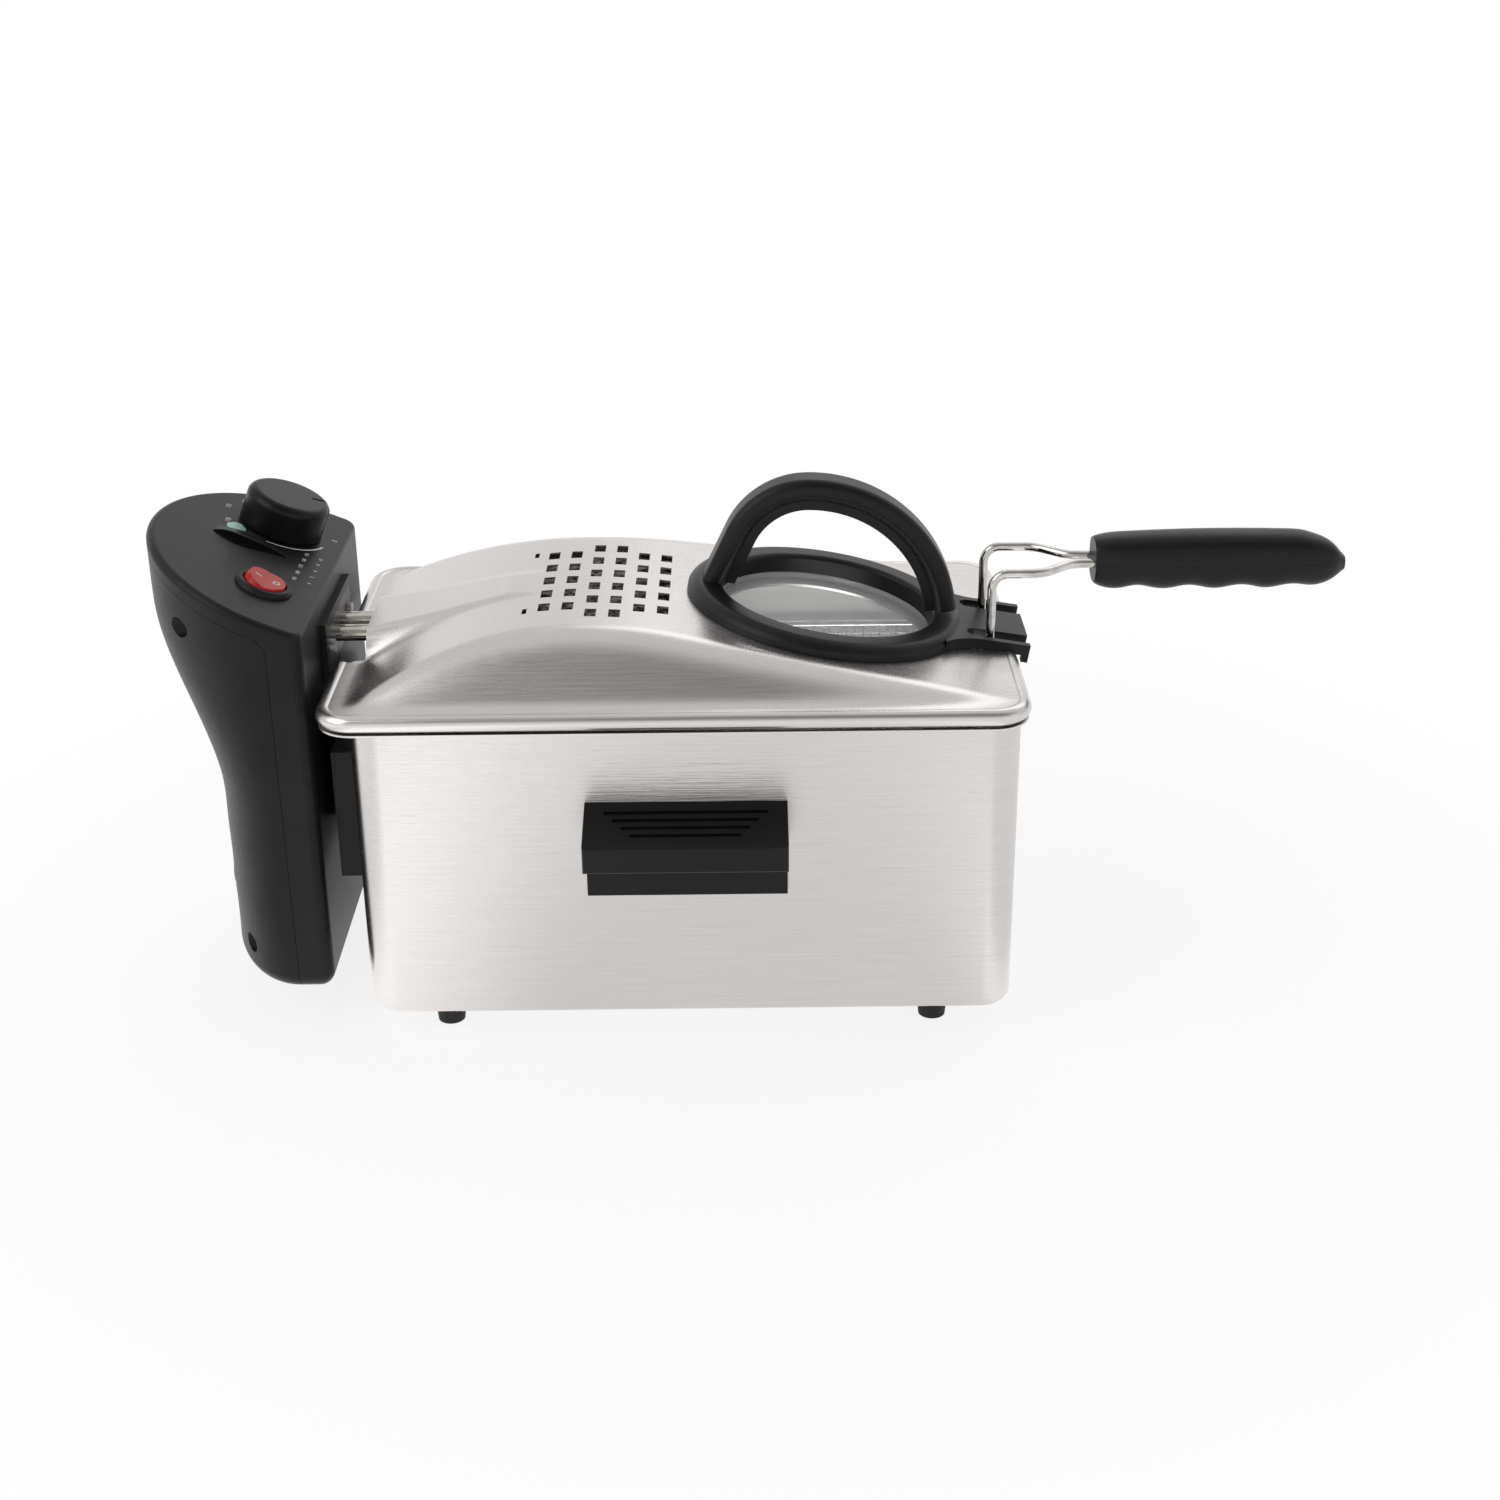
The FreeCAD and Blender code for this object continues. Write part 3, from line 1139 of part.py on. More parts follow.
def thermostat():
    """The thermostat under the deck, its shaft and the fluted knob on it."""
    spot = on_deck(dim.knob_u, dim.knob_y, 0)
    body = new_body("thermostat_body", *spot, tilt=dim.deck_tilt)
    bore = dim.shaft_radius + dim.fit_gap
    under = -dim.control_wall
    sketch = new_sketch(body, "XZ_Plane")
    bottom = under - dim.thermostat_height
    outline(
        sketch,
        [
            (bore, dim.neck_proud),
            (bore, -dim.shaft_depth - dim.fit_gap),
            (0, -dim.shaft_depth - dim.fit_gap),
            (0, bottom),
            (dim.thermostat_radius, bottom),
            (dim.thermostat_radius, under),
            (dim.neck_radius, under),
            (dim.neck_radius, dim.neck_proud),
        ],
    )
    revolve(body, sketch)
    shaft_length = dim.shaft_depth + dim.knob_lift + dim.shaft_grip
    low = on_deck(dim.knob_u, dim.knob_y, -dim.shaft_depth)
    shaft = cylinder("thermostat_shaft", dim.shaft_radius, shaft_length, low, tilt=dim.deck_tilt)
    keep(shaft, "thermostat_shaft")
    knob = new_body("thermostat_knob", *spot, tilt=dim.deck_tilt)
    sketch = new_sketch(knob, "XY_Plane", dim.knob_lift)
    circle(sketch, 0, 0, dim.knob_radius)
    cap = pad(knob, sketch, dim.knob_height)
    round_edges(knob, cap, dim.knob_edge, flat_at(dim.knob_lift + dim.knob_height))
    sketch = new_sketch(knob, "XY_Plane", dim.knob_lift)
    circle(sketch, 0, 0, bore)
    pocket(knob, sketch, dim.shaft_grip + dim.fit_gap, reverse=True)
    sketch = new_sketch(knob, "XY_Plane", dim.knob_lift + dim.knob_height)
    circle(sketch, dim.knob_radius + dim.flute_radius - dim.flute_depth, 0, dim.flute_radius)
    flute = pocket(knob, sketch, dim.knob_height - dim.knob_edge / 2)
    pattern = knob.newObject("PartDesign::PolarPattern", "thermostat_knob_flutes")
    pattern.Originals = [flute]
    axis = [feature for feature in knob.Origin.OriginFeatures if feature.Role == "Z_Axis"][0]
    pattern.Axis = (axis, [""])
    pattern.Angle = 360
    pattern.Occurrences = 8
    sketch = new_sketch(knob, "XY_Plane", dim.knob_lift + dim.knob_height)
    half = dim.pointer_width / 2
    ends = ((dim.pointer_start, -half), (dim.knob_radius, -half), (dim.knob_radius, half), (dim.pointer_start, half))
    along = cosine(dim.pointer_angle)
    across = sine(dim.pointer_angle)
    outline(sketch, [(a * along - b * across, a * across + b * along) for a, b in ends])
    knob.Tip = pocket(knob, sketch, dim.knob_edge / 2 + dim.pointer_depth)


def rocker_switch():
    """A round switch: a barrel with a bezel, and a rocker that tips inside it on a pivot pin along Y."""
    spot = on_deck(dim.switch_u, -dim.switch_y, 0)
    body = new_body("switch_body", *spot, tilt=dim.deck_tilt)
    cup = dim.rocker_radius + dim.rocker_play
    sketch = new_sketch(body, "XZ_Plane")
    outline(
        sketch,
        [
            (cup, dim.switch_bezel_height),
            (cup, -dim.rocker_radius - dim.rocker_play),
            (0, -dim.rocker_radius - dim.rocker_play),
            (0, -dim.switch_depth),
            (dim.switch_barrel, -dim.switch_depth),
            (dim.switch_barrel, 0),
            (dim.switch_radius, 0),
            (dim.switch_radius - dim.switch_bezel_height / 2, dim.switch_bezel_height),
        ],
        {6: (dim.switch_bezel_height * 1.3, 1)},
    )
    revolve(body, sketch)
    sketch = new_sketch(body, "XZ_Plane")
    circle(sketch, 0, 0, dim.pivot_radius + dim.fit_gap)
    pocket(body, sketch, dim.switch_barrel * 2, symmetric=True)
    ball = doc.addObject("Part::Sphere", "rocker_ball")
    bind(ball, "Radius", dim.rocker_radius)
    place(ball, *spot, tilt=dim.deck_tilt)
    wedge = doc.addObject("PartDesign::Body", "rocker_wedge")
    place(wedge, *spot, tilt=dim.deck_tilt + dim.rocker_angle)
    sketch = new_sketch(wedge, "XZ_Plane")
    reach = dim.rocker_radius * 1.2
    lift = reach * tangent(dim.rocker_angle)
    outline(
        sketch,
        [
            (-reach, -dim.rocker_crown),
            (reach, -dim.rocker_crown),
            (reach, dim.rocker_crown + lift),
            (0, dim.rocker_crown),
            (-reach, dim.rocker_crown + lift),
        ],
    )
    pad(wedge, sketch, reach * 2, symmetric=True)
    paddle = doc.addObject("Part::Common", "rocker_paddle")
    paddle.Base = ball
    paddle.Tool = wedge
    pin_half = dim.switch_barrel - dim.pivot_inset
    pin_spot = (spot[0], spot[1] - pin_half, spot[2])
    rocker = doc.addObject("Part::Fuse", "rocker")
    rocker.Base = paddle
    rocker.Tool = cylinder("rocker_pivot", dim.pivot_radius, pin_half * 2, pin_spot, Vector(0, 1, 0))
    keep(rocker, "rocker")


def ready_light():
    """A small domed lens on a stem through the deck."""
    body = new_body("ready_lens", *on_deck(dim.light_u, dim.light_y, 0), tilt=dim.deck_tilt)
    sketch = new_sketch(body, "XZ_Plane")
    edge = dim.light_height / 3
    outline(
        sketch,
        [
            (0, -dim.light_stem_depth),
            (dim.light_stem, -dim.light_stem_depth),
            (dim.light_stem, 0),
            (dim.light_radius, 0),
            (dim.light_radius, edge),
            (dim.light_radius * 0.6, dim.light_height),
            (0, dim.light_height),
        ],
    )
    revolve(body, sketch)


def overheat_cutout():
    """The overheat cut-out on the inner cover and its reset button behind a hole in the outer cover."""
    back = control_face - dim.control_wall
    face = back - dim.cutout_depth
    spot = (back, -dim.reset_y, reset_z)
    body = new_body("cutout_body", *spot)
    sketch = new_sketch(body, "YZ_Plane")
    circle(sketch, 0, 0, dim.cutout_radius)
    pad(body, sketch, dim.cutout_depth, reverse=True)
    sketch = new_sketch(body, "YZ_Plane", -dim.cutout_depth)
    circle(sketch, 0, 0, dim.reset_radius + dim.fit_gap)
    pocket(body, sketch, dim.reset_travel * 4, reverse=True)
    button_start = face + dim.reset_travel * 2
    button_end = seam_x - dim.leg_bulge * 0.8
    spot = (button_start, -dim.reset_y, reset_z)
    button = cylinder("reset_button", dim.reset_radius, button_start - button_end, spot, Vector(-1, 0, 0))
    keep(button, "reset_button")


def inner_electrics():
    """The interlock switch and the terminal block on the inside of the inner cover."""
    back = control_face - dim.control_wall
    body = new_body("interlock_switch", back, dim.interlock_y, block_middle)
    sketch = new_sketch(body, "YZ_Plane")
    wide = dim.interlock_length / 2
    high = dim.interlock_height / 2
    outline(sketch, [(-wide, -high), (wide, -high), (wide, high), (-wide, high)])
    pad(body, sketch, dim.interlock_depth, reverse=True)
    sketch = new_sketch(body, "YZ_Plane", -dim.interlock_depth)
    for side in (-1, 1):
        circle(sketch, side * dim.interlock_hole_y, 0, dim.interlock_hole)
    pocket(body, sketch, dim.interlock_depth, reverse=True)
    body = new_body("terminal_block", back, 0, gland_z + dim.terminal_rise)
    sketch = new_sketch(body, "YZ_Plane")
    wide = dim.terminal_length / 2
    high = dim.terminal_height / 2
    outline(sketch, [(-wide, -high), (wide, -high), (wide, high), (-wide, high)])
    pad(body, sketch, dim.terminal_depth, reverse=True)
    sketch = new_sketch(body, "YZ_Plane", -dim.terminal_depth)
    for place_number in (-1, 0, 1):
        circle(sketch, place_number * dim.terminal_pitch, 0, dim.terminal_hole)
    pocket(body, sketch, dim.terminal_hole_depth, reverse=True)


def cord_gland():
    """The bush in the outer cover that a mains lead would pass through."""
    surface = seam_x - dim.leg_bulge - dim.seam_gap
    body = new_body("cord_gland", surface, 0, gland_z)
    sketch = new_sketch(body, "YZ_Plane")
    circle(sketch, 0, 0, dim.gland_flange)
    circle(sketch, 0, 0, dim.gland_bore)
    pad(body, sketch, dim.control_wall, reverse=True)
    sketch = new_sketch(body, "YZ_Plane")
    circle(sketch, 0, 0, dim.gland_radius)
    circle(sketch, 0, 0, dim.gland_bore)
    pad(body, sketch, dim.control_wall * 4)


def prism(corners, start, run):
    """A solid drawn along a run from a flat outline of points, each an arc middle or a corner."""
    edges = []
    for first, middle, last in corners:
        if middle is None:
            edges.append(Part.LineSegment(first, last).toShape())
        else:
            edges.append(Part.Arc(first, middle, last).toShape())
    face = Part.Face(Part.Wire(edges))
    face.translate(start)
    return face.extrude(run)


def leaning_sides(half, steep, inset, low, high):
    """The space between two leaning side planes, half apart at the flange and drawn in by an inset."""
    shift = inset * math.sqrt(1 + steep * steep) / steep
    base = float(flange_top)
    far = 2 * float(dim.housing_length)
    rows = [(half - shift - (z - base) / steep, z) for z in (low, high)]
    points = [Vector(0, -rows[0][0], low), Vector(0, rows[0][0], low)]
    points += [Vector(0, rows[1][0], high), Vector(0, -rows[1][0], high)]
    corners = [(points[n], None, points[(n + 1) % 4]) for n in range(4)]
    return prism(corners, Vector(-far / 2, 0, 0), Vector(far, 0, 0))


def one_side(box):
    """True for an edge that stays on one side of the middle plane."""
    return box.YMin * box.YMax > 0


def crown_point(radius, angle, inset):
    """A point on an arc that is level at the crest, at an angle from it."""
    bend = radius - inset
    top = float(flange_top + dim.dome_rise)
    return Vector(bend * math.sin(angle) - float(crest_x), 0, top - radius + bend * math.cos(angle))


def crown_radius():
    """Radius of the arc from the foot on the control side up to the crest."""
    run = float(-crest_x - hood_x)
    rise = float(dim.dome_rise)
    return (run * run + rise * rise) / (2 * rise)


def dome(inset, low):
    """The crown: an arc up to the crest, a shoulder arc and a straight fall, between sides that lean in."""
    big = crown_radius()
    slope = math.radians(float(lid_slope))
    shoulder = float(dim.shoulder_run) / 2 / math.tan(slope / 2)
    top = float(flange_top + dim.dome_rise)
    opening = -math.acos((low - top + big) / (big - inset))
    foot = crown_point(big, opening, inset)
    crest = crown_point(big, 0, inset)
    bend = crown_point(shoulder, slope, inset)
    end = Vector(bend.x + (bend.z - low) / math.tan(slope), 0, low)
    corners = [
        (foot, crown_point(big, opening / 2, inset), crest),
        (crest, crown_point(shoulder, slope / 2, inset), bend),
        (bend, None, end),
        (end, None, foot),
    ]
    wide = float(lid_half)
    crown = prism(corners, Vector(0, -wide, 0), Vector(0, 2 * wide, 0))
    steep = float(dim.dome_rise / dim.dome_side_run)
    half = float(lid_half - dim.flange_side)
    form = crown.common(leaning_sides(half, steep, inset, low, top + 1))
    ridge = [edge for edge in form.Edges if one_side(edge.BoundBox) and edge.BoundBox.ZMax > low + 1]
    return form.makeFillet(float(dim.crest_blend) - inset, ridge)


def hood(inset, low, mouth):
    """The straight hood that runs from the crown to its mouth over the element tubes."""
    big = crown_radius()
    join = crown_point(big, -math.asin(float(dim.hood_start) / big), 0)
    fall = (join.z - float(flange_top + dim.hood_rise)) / (join.x - float(hood_x))
    sink = inset * math.sqrt(1 + fall * fall)
    far = join.x + float(dim.hood_start)

    def on_top(x):
        return Vector(x, 0, join.z + (x - join.x) * fall - sink)

    points = [Vector(mouth, 0, low), Vector(far, 0, low), on_top(far), on_top(mouth)]
    corners = [(points[n], None, points[(n + 1) % 4]) for n in range(4)]
    wide = float(lid_half)
    form = prism(corners, Vector(0, -wide, 0), Vector(0, 2 * wide, 0))
    high = float(flange_top + dim.dome_rise) - inset
    form = form.common(leaning_sides(float(dim.hood_half), float(dim.hood_steep), inset, low, high))
    ridge = [edge for edge in form.Edges if one_side(edge.BoundBox) and edge.BoundBox.ZMin > low + 1]
    ridge = [edge for edge in ridge if edge.BoundBox.XLength > 1]
    return form.makeFillet(float(dim.hood_edge) - inset, ridge)


def flat_rounded(left, right, half, corner, low, high):
    """A slab with round corners, as a plain shape."""
    box = block(left, right, -float(half), half, low, high)
    upright = [edge for edge in box.Edges if edge.BoundBox.ZLength > float(high) - float(low) - 0.01]
    return box.makeFillet(float(corner), upright)


def lid_cylinder(radius, u, v, low, high):
    """A cylinder square to the sloping lid, between two heights above the sheet."""
    spot = Vector(*[float(at) for at in on_lid(u, v, low)])
    direction = Rotation(Vector(0, 1, 0), float(lid_slope)).multVec(Vector(0, 0, 1))
    return Part.makeCylinder(radius, float(high) - float(low), spot, direction)


retainer_angles = (45, 135, 225, 315)


def retainer_spots(w):
    """The four retainer screws on the lid, at a height above the sheet."""
    spots = []
    for angle in retainer_angles:
        u = dim.retainer_screw_radius * math.cos(math.radians(angle))
        v = dim.retainer_screw_radius * math.sin(math.radians(angle))
        spots.append((u, v, w))
    return spots


vent_counts = (5, 5, 6, 6, 5, 5)


def vent_cutters(low, high):
    """Columns of upright vents through the crown, and the two slits that hook the filter tray."""
    cutters = []

    def hole(x, y, width, length):
        half_x = float(width) / 2
        half_y = float(length) / 2
        cutters.append(block(x - half_x, x + half_x, y - half_y, y + half_y, low, high))

    middle = -float(vent_middle_x)
    for column, count in enumerate(vent_counts):
        x = middle + (column - (len(vent_counts) - 1) / 2) * float(dim.vent_pitch_x)
        for row in range(count):
            y = (row - (count - 1) / 2) * float(dim.vent_pitch_y)
            hole(x, y, dim.vent_width, dim.vent_length)
    for side in (-1, 1):
        hole(middle - float(dim.slit_back), side * float(dim.slit_y), dim.slit_width, dim.slit_length)
    return Part.makeCompound(cutters)


def lid_shell():
    """The pressed lid: one sheet with a crown, a hood over the tubes, vents, a window hole and a rolled edge."""
    sheet_t = float(dim.lid_sheet)
    base = float(flange_top)
    high = float(flange_top + dim.dome_rise * 2)
    low = float(rim_top - dim.bead_radius)
    bead = float(dim.bead_radius)
    left = float(lid_left) + bead
    right = float(lid_right) - bead
    half = float(lid_half) - bead
    corner = float(dim.lid_corner) - bead
    mouth = float(hood_x)
    level = base - sheet_t / 2
    form = flat_rounded(left, right, half, corner, base - sheet_t, base).fuse(dome(0, level))
    foot_y = float(lid_half - dim.flange_side)
    foot = [edge for edge in form.Edges if flat_at(base)(edge.BoundBox) and abs(edge.BoundBox.Center.y) > foot_y - 0.1]
    foot = [edge for edge in foot if abs(edge.BoundBox.Center.y) < foot_y + 0.1]
    form = form.makeFillet(float(dim.foot_blend), foot)
    form = form.fuse(hood(0, level, mouth))
    under = base - 5 * sheet_t
    shell = form.cut(dome(sheet_t, under)).cut(hood(sheet_t, under, float(lid_left)))
    shell = shell.fuse(rounded_ring(left, right, half, float(bead_z), corner, bead))
    notch = float(dim.hood_half + dim.hood_margin)
    shell = shell.cut(block(lid_left - dim.bead_radius, hood_x, -notch, notch, low, high))
    tab = dim.tab_half + dim.notch_play
    tab_x = on_lid(dim.slot_start - dim.slot_width, 0, 0)[0]
    shell = shell.cut(block(tab_x, lid_right + dim.bead_radius, -tab, tab, low, high))
    sleeve = dim.window_radius + dim.sleeve_wall * 2 + dim.fit_gap * 4
    reach = float(dim.sleeve_depth)
    shell = shell.cut(lid_cylinder(sleeve, 0, 0, -reach, reach))
    for u, v, _ in retainer_spots(0):
        shell = shell.cut(lid_cylinder(screw_hole, u, v, -reach, reach))
    shell = shell.cut(vent_cutters(float(flange_top + dim.foot_blend), high))
    formed("lid_shell", shell)


def window_bezel():
    """The moulded ring round the window, its glass sleeve and the slotted tab for the handle wires."""
    body = new_body("window_bezel", *on_lid(0, 0, 0), tilt=lid_slope)
    clear = dim.window_radius
    rebate = dim.glass_radius + 2 * dim.fit_gap
    sleeve = clear + dim.sleeve_wall * 2
    seat = dim.bezel_seat
    high = dim.bezel_height
    glass_top = dim.glass_thickness + dim.seal_thickness - dim.sleeve_depth
    sketch = new_sketch(body, "XZ_Plane")
    outline(
        sketch,
        [
            (clear, high * 0.7),
            (clear, glass_top),
            (rebate, glass_top),
            (rebate, -dim.sleeve_depth),
            (sleeve, -dim.sleeve_depth),
            (sleeve, seat),
            (dim.bezel_radius, seat),
            (dim.bezel_radius, high * 0.35),
            (dim.bezel_radius - high * 0.8, high),
            (clear + high * 0.4, high),
        ],
        {7: (high, 1), 9: (high * 0.5, 1)},
    )
    revolve(body, sketch)
    sketch = new_sketch(body, "XY_Plane", seat)
    end = dim.tab_length
    tab = dim.tab_half
    around = dim.bezel_radius + dim.tab_blend
    centre_v = tab + dim.tab_blend
    centre_u = root(around * around - centre_v * centre_v)
    meet_u = centre_u * dim.bezel_radius / around
    meet_v = centre_v * dim.bezel_radius / around
    corners = [(meet_u, -meet_v), (centre_u, -tab), (end, -tab), (end, tab), (centre_u, tab), (meet_u, meet_v)]
    outline(sketch, corners, {0: (dim.tab_blend, -1), 4: (dim.tab_blend, -1)})
    pad(body, sketch, dim.tab_height - seat)
    sketch = new_sketch(body, "XY_Plane", seat)
    lip = end - dim.tab_lip
    outline(sketch, [(lip, -tab), (end, -tab), (end, tab), (lip, tab)])
    pad(body, sketch, dim.tab_lip + seat, reverse=True)
    sketch = new_sketch(body, "XY_Plane", dim.tab_height)
    half = dim.slot_width / 2
    for side in (-1, 1):
        middle = side * dim.leg_y
        begin = dim.slot_start + half
        finish = end + 1
        corners = [(begin, middle - half), (finish, middle - half), (finish, middle + half), (begin, middle + half)]
        outline(sketch, corners, {3: (half * 1.001, 1)})
    pocket(body, sketch, dim.tab_height + dim.tab_lip * 2)
    sketch = new_sketch(body, "XY_Plane", seat)
    for u, v, _ in retainer_spots(0):
        circle(sketch, u, v, screw_hole)
    pocket(body, sketch, high * 0.6, reverse=True)


def lid_handle():
    """The arched handle: a rounded band with a narrower web inside it, cut to stand on the bezel."""
    body = doc.addObject("PartDesign::Body", "lid_handle_arch")
    place(body)

    def arch_line(depth):
        """The corners of the arch from its left end to its right end, a depth inside the outer line."""
        lean = dim.arch_lean
        left = dim.arch_left_radius - depth
        right = dim.arch_right_radius - depth
        shoulder_x = arch_apex_x - left * sine(lean)
        shoulder_z = arch_apex_z - dim.arch_left_radius + left * cosine(lean)
        end_x = arch_apex_x + right * sine(dim.arch_end)
        end_z = arch_apex_z - dim.arch_right_radius + right * cosine(dim.arch_end)
        return [
            (shoulder_x - dim.arch_leg * cosine(lean), shoulder_z - dim.arch_leg * sine(lean)),
            (shoulder_x, shoulder_z),
            (arch_apex_x, arch_apex_z - depth),
            (end_x, end_z),
        ]

    def arch(sketch, outer, inner):
        """The arch between two depths inside its outer line."""
        arcs = {
            1: (dim.arch_left_radius - outer, -1),
            2: (dim.arch_right_radius - outer, -1),
            4: (dim.arch_right_radius - inner, 1),
            5: (dim.arch_left_radius - inner, 1),
        }
        outline(sketch, arch_line(outer) + arch_line(inner)[::-1], arcs)

    sketch = new_sketch(body, "XZ_Plane")
    arch(sketch, as_size(0), dim.arch_band)
    band = pad(body, sketch, dim.arch_band_width, symmetric=True)
    half = float(dim.arch_band_width) / 2
    longest = float(dim.arch_band) * 1.2

    def along_band(box):
        return box.YLength < 0.01 and abs(abs(box.YMin) - half) < 0.01 and box.DiagonalLength > longest

    round_edges(body, band, dim.arch_edge, along_band)
    sketch = new_sketch(body, "XZ_Plane")
    arch(sketch, dim.arch_band / 2, dim.arch_band + dim.arch_web)
    pad(body, sketch, dim.arch_web_width, symmetric=True)
    base = doc.addObject("Part::Box", "lid_handle_base")
    side = dim.bezel_radius * 3
    deep = dim.arch_right_radius * 2
    bind(base, "Length", side)
    bind(base, "Width", side)
    bind(base, "Height", deep)
    place(base, *on_lid(-(side / 2), -(side / 2), dim.bezel_height + dim.fit_gap - deep), tilt=lid_slope)
    handle = doc.addObject("Part::Cut", "lid_handle")
    handle.Base = body
    handle.Tool = base
    keep(handle, "lid_handle")


def window():
    """The glass, its seal and the steel retainer that holds both in the bezel sleeve."""
    spot = on_lid(0, 0, 0)
    floor = dim.seal_thickness - dim.sleeve_depth
    glass = new_body("window_glass", *spot, tilt=lid_slope)
    sketch = new_sketch(glass, "XY_Plane", floor)
    circle(sketch, 0, 0, dim.glass_radius)
    pad(glass, sketch, dim.glass_thickness - dim.fit_gap)
    seal = new_body("window_seal", *spot, tilt=lid_slope)
    sketch = new_sketch(seal, "XY_Plane", dim.fit_gap - dim.sleeve_depth)
    circle(sketch, 0, 0, dim.glass_radius)
    circle(sketch, 0, 0, dim.glass_radius - dim.seal_width)
    pad(seal, sketch, dim.seal_thickness - 2 * dim.fit_gap)
    retainer = new_body("window_retainer", *spot, tilt=lid_slope)
    sheet_t = dim.retainer_sheet
    cup = dim.window_radius + dim.sleeve_wall * 2 + dim.fit_gap
    top = -dim.lid_sheet - dim.bezel_seat
    low = -dim.sleeve_depth
    lip = dim.glass_radius - dim.seal_width
    sketch = new_sketch(retainer, "XZ_Plane")
    outline(
        sketch,
        [
            (dim.retainer_radius, top),
            (cup, top),
            (cup, low),
            (lip, low),
            (lip, low - sheet_t),
            (cup + sheet_t, low - sheet_t),
            (cup + sheet_t, top - sheet_t),
            (dim.retainer_radius, top - sheet_t),
        ],
    )
    revolve(retainer, sketch)
    sketch = new_sketch(retainer, "XY_Plane", top)
    for u, v, _ in retainer_spots(0):
        circle(sketch, u, v, screw_hole)
    pocket(retainer, sketch, sheet_t)
    group = []
    length = sheet_t + dim.lid_sheet + dim.bezel_height * 0.5
    for number, (u, v, w) in enumerate(retainer_spots(top - sheet_t)):
        name = "retainer_screws_%d" % number
        shank = cylinder(name + "_shank", dim.screw_radius, length, on_lid(u, v, w), tilt=lid_slope)
        head_w = w - dim.screw_head_height
        head = cylinder(name + "_head", dim.screw_head * 0.7, dim.screw_head_height, on_lid(u, v, head_w), tilt=lid_slope)
        screw = doc.addObject("Part::Fuse", name)
        screw.Base = shank
        screw.Tool = head
        group.append(screw)
    node = doc.addObject("Part::Compound", "retainer_screws")
    node.Links = group
    keep(node, "retainer_screws")


def vent_filter():
    """The filter pad under the vents and the shallow tray that holds it, open below through slots."""
    half_x = dim.filter_length / 2
    half_y = dim.filter_depth / 2
    top = flange_top + dim.dome_rise - dim.filter_clear
    bottom = top - dim.filter_pad_height
    tray = new_body("filter_tray", -vent_middle_x)
    sketch = new_sketch(tray, "XY_Plane", bottom - dim.filter_sheet)
    outline(sketch, [(-half_x, -half_y), (half_x, -half_y), (half_x, half_y), (-half_x, half_y)])
    pad(tray, sketch, top - bottom + dim.filter_sheet)
    sketch = new_sketch(tray, "XY_Plane", top)
    inner_x = half_x - dim.filter_sheet
    inner_y = half_y - dim.filter_sheet
    outline(sketch, [(-inner_x, -inner_y), (inner_x, -inner_y), (inner_x, inner_y), (-inner_x, inner_y)])
    pocket(tray, sketch, top - bottom)
    sketch = new_sketch(tray, "XY_Plane", bottom)
    for column in range(-2, 3):
        u = column * dim.filter_length / 6
        half_u = dim.filter_length / 18
        half_v = dim.filter_depth / 2.6
        outline(sketch, [(u - half_u, -half_v), (u + half_u, -half_v), (u + half_u, half_v), (u - half_u, half_v)])
    pocket(tray, sketch, dim.filter_sheet)
    mat = new_body("filter_pad", -vent_middle_x)
    sketch = new_sketch(mat, "XY_Plane", bottom + dim.fit_gap)
    mat_x = inner_x - dim.fit_gap
    mat_y = inner_y - dim.fit_gap
    outline(sketch, [(-mat_x, -mat_y), (mat_x, -mat_y), (mat_x, mat_y), (-mat_x, mat_y)])
    pad(mat, sketch, dim.filter_pad_height - 2 * dim.fit_gap)


def mesh_panel(middle, along, up, width, height):
    """A flat net about its middle: one holed face with square gaps, thickened along the cross of its directions."""
    pitch = float(dim.mesh_pitch)
    bar = float(dim.mesh_bar)

    def frame(a0, a1, b0, b1):
        corners = [(a0, b0), (a1, b0), (a1, b1), (a0, b1), (a0, b0)]
        return Part.makePolygon([middle + along * a + up * b for a, b in corners])

    columns = max(1, round((width - bar) / pitch))
    rows = max(1, round((height - bar) / pitch))
    step_a = (width - bar) / columns
    step_b = (height - bar) / rows
    wires = [frame(-width / 2, width / 2, -height / 2, height / 2)]
    for column in range(columns):
        for row in range(rows):
            a = bar - width / 2 + step_a * column
            b = bar - height / 2 + step_b * row
            wires.append(frame(a, a + step_a - bar, b, b + step_b - bar))
    face = Part.makeFace(wires, "Part::FaceMakerBullseye")
    return face.extrude(along.cross(up) * float(dim.mesh_sheet))


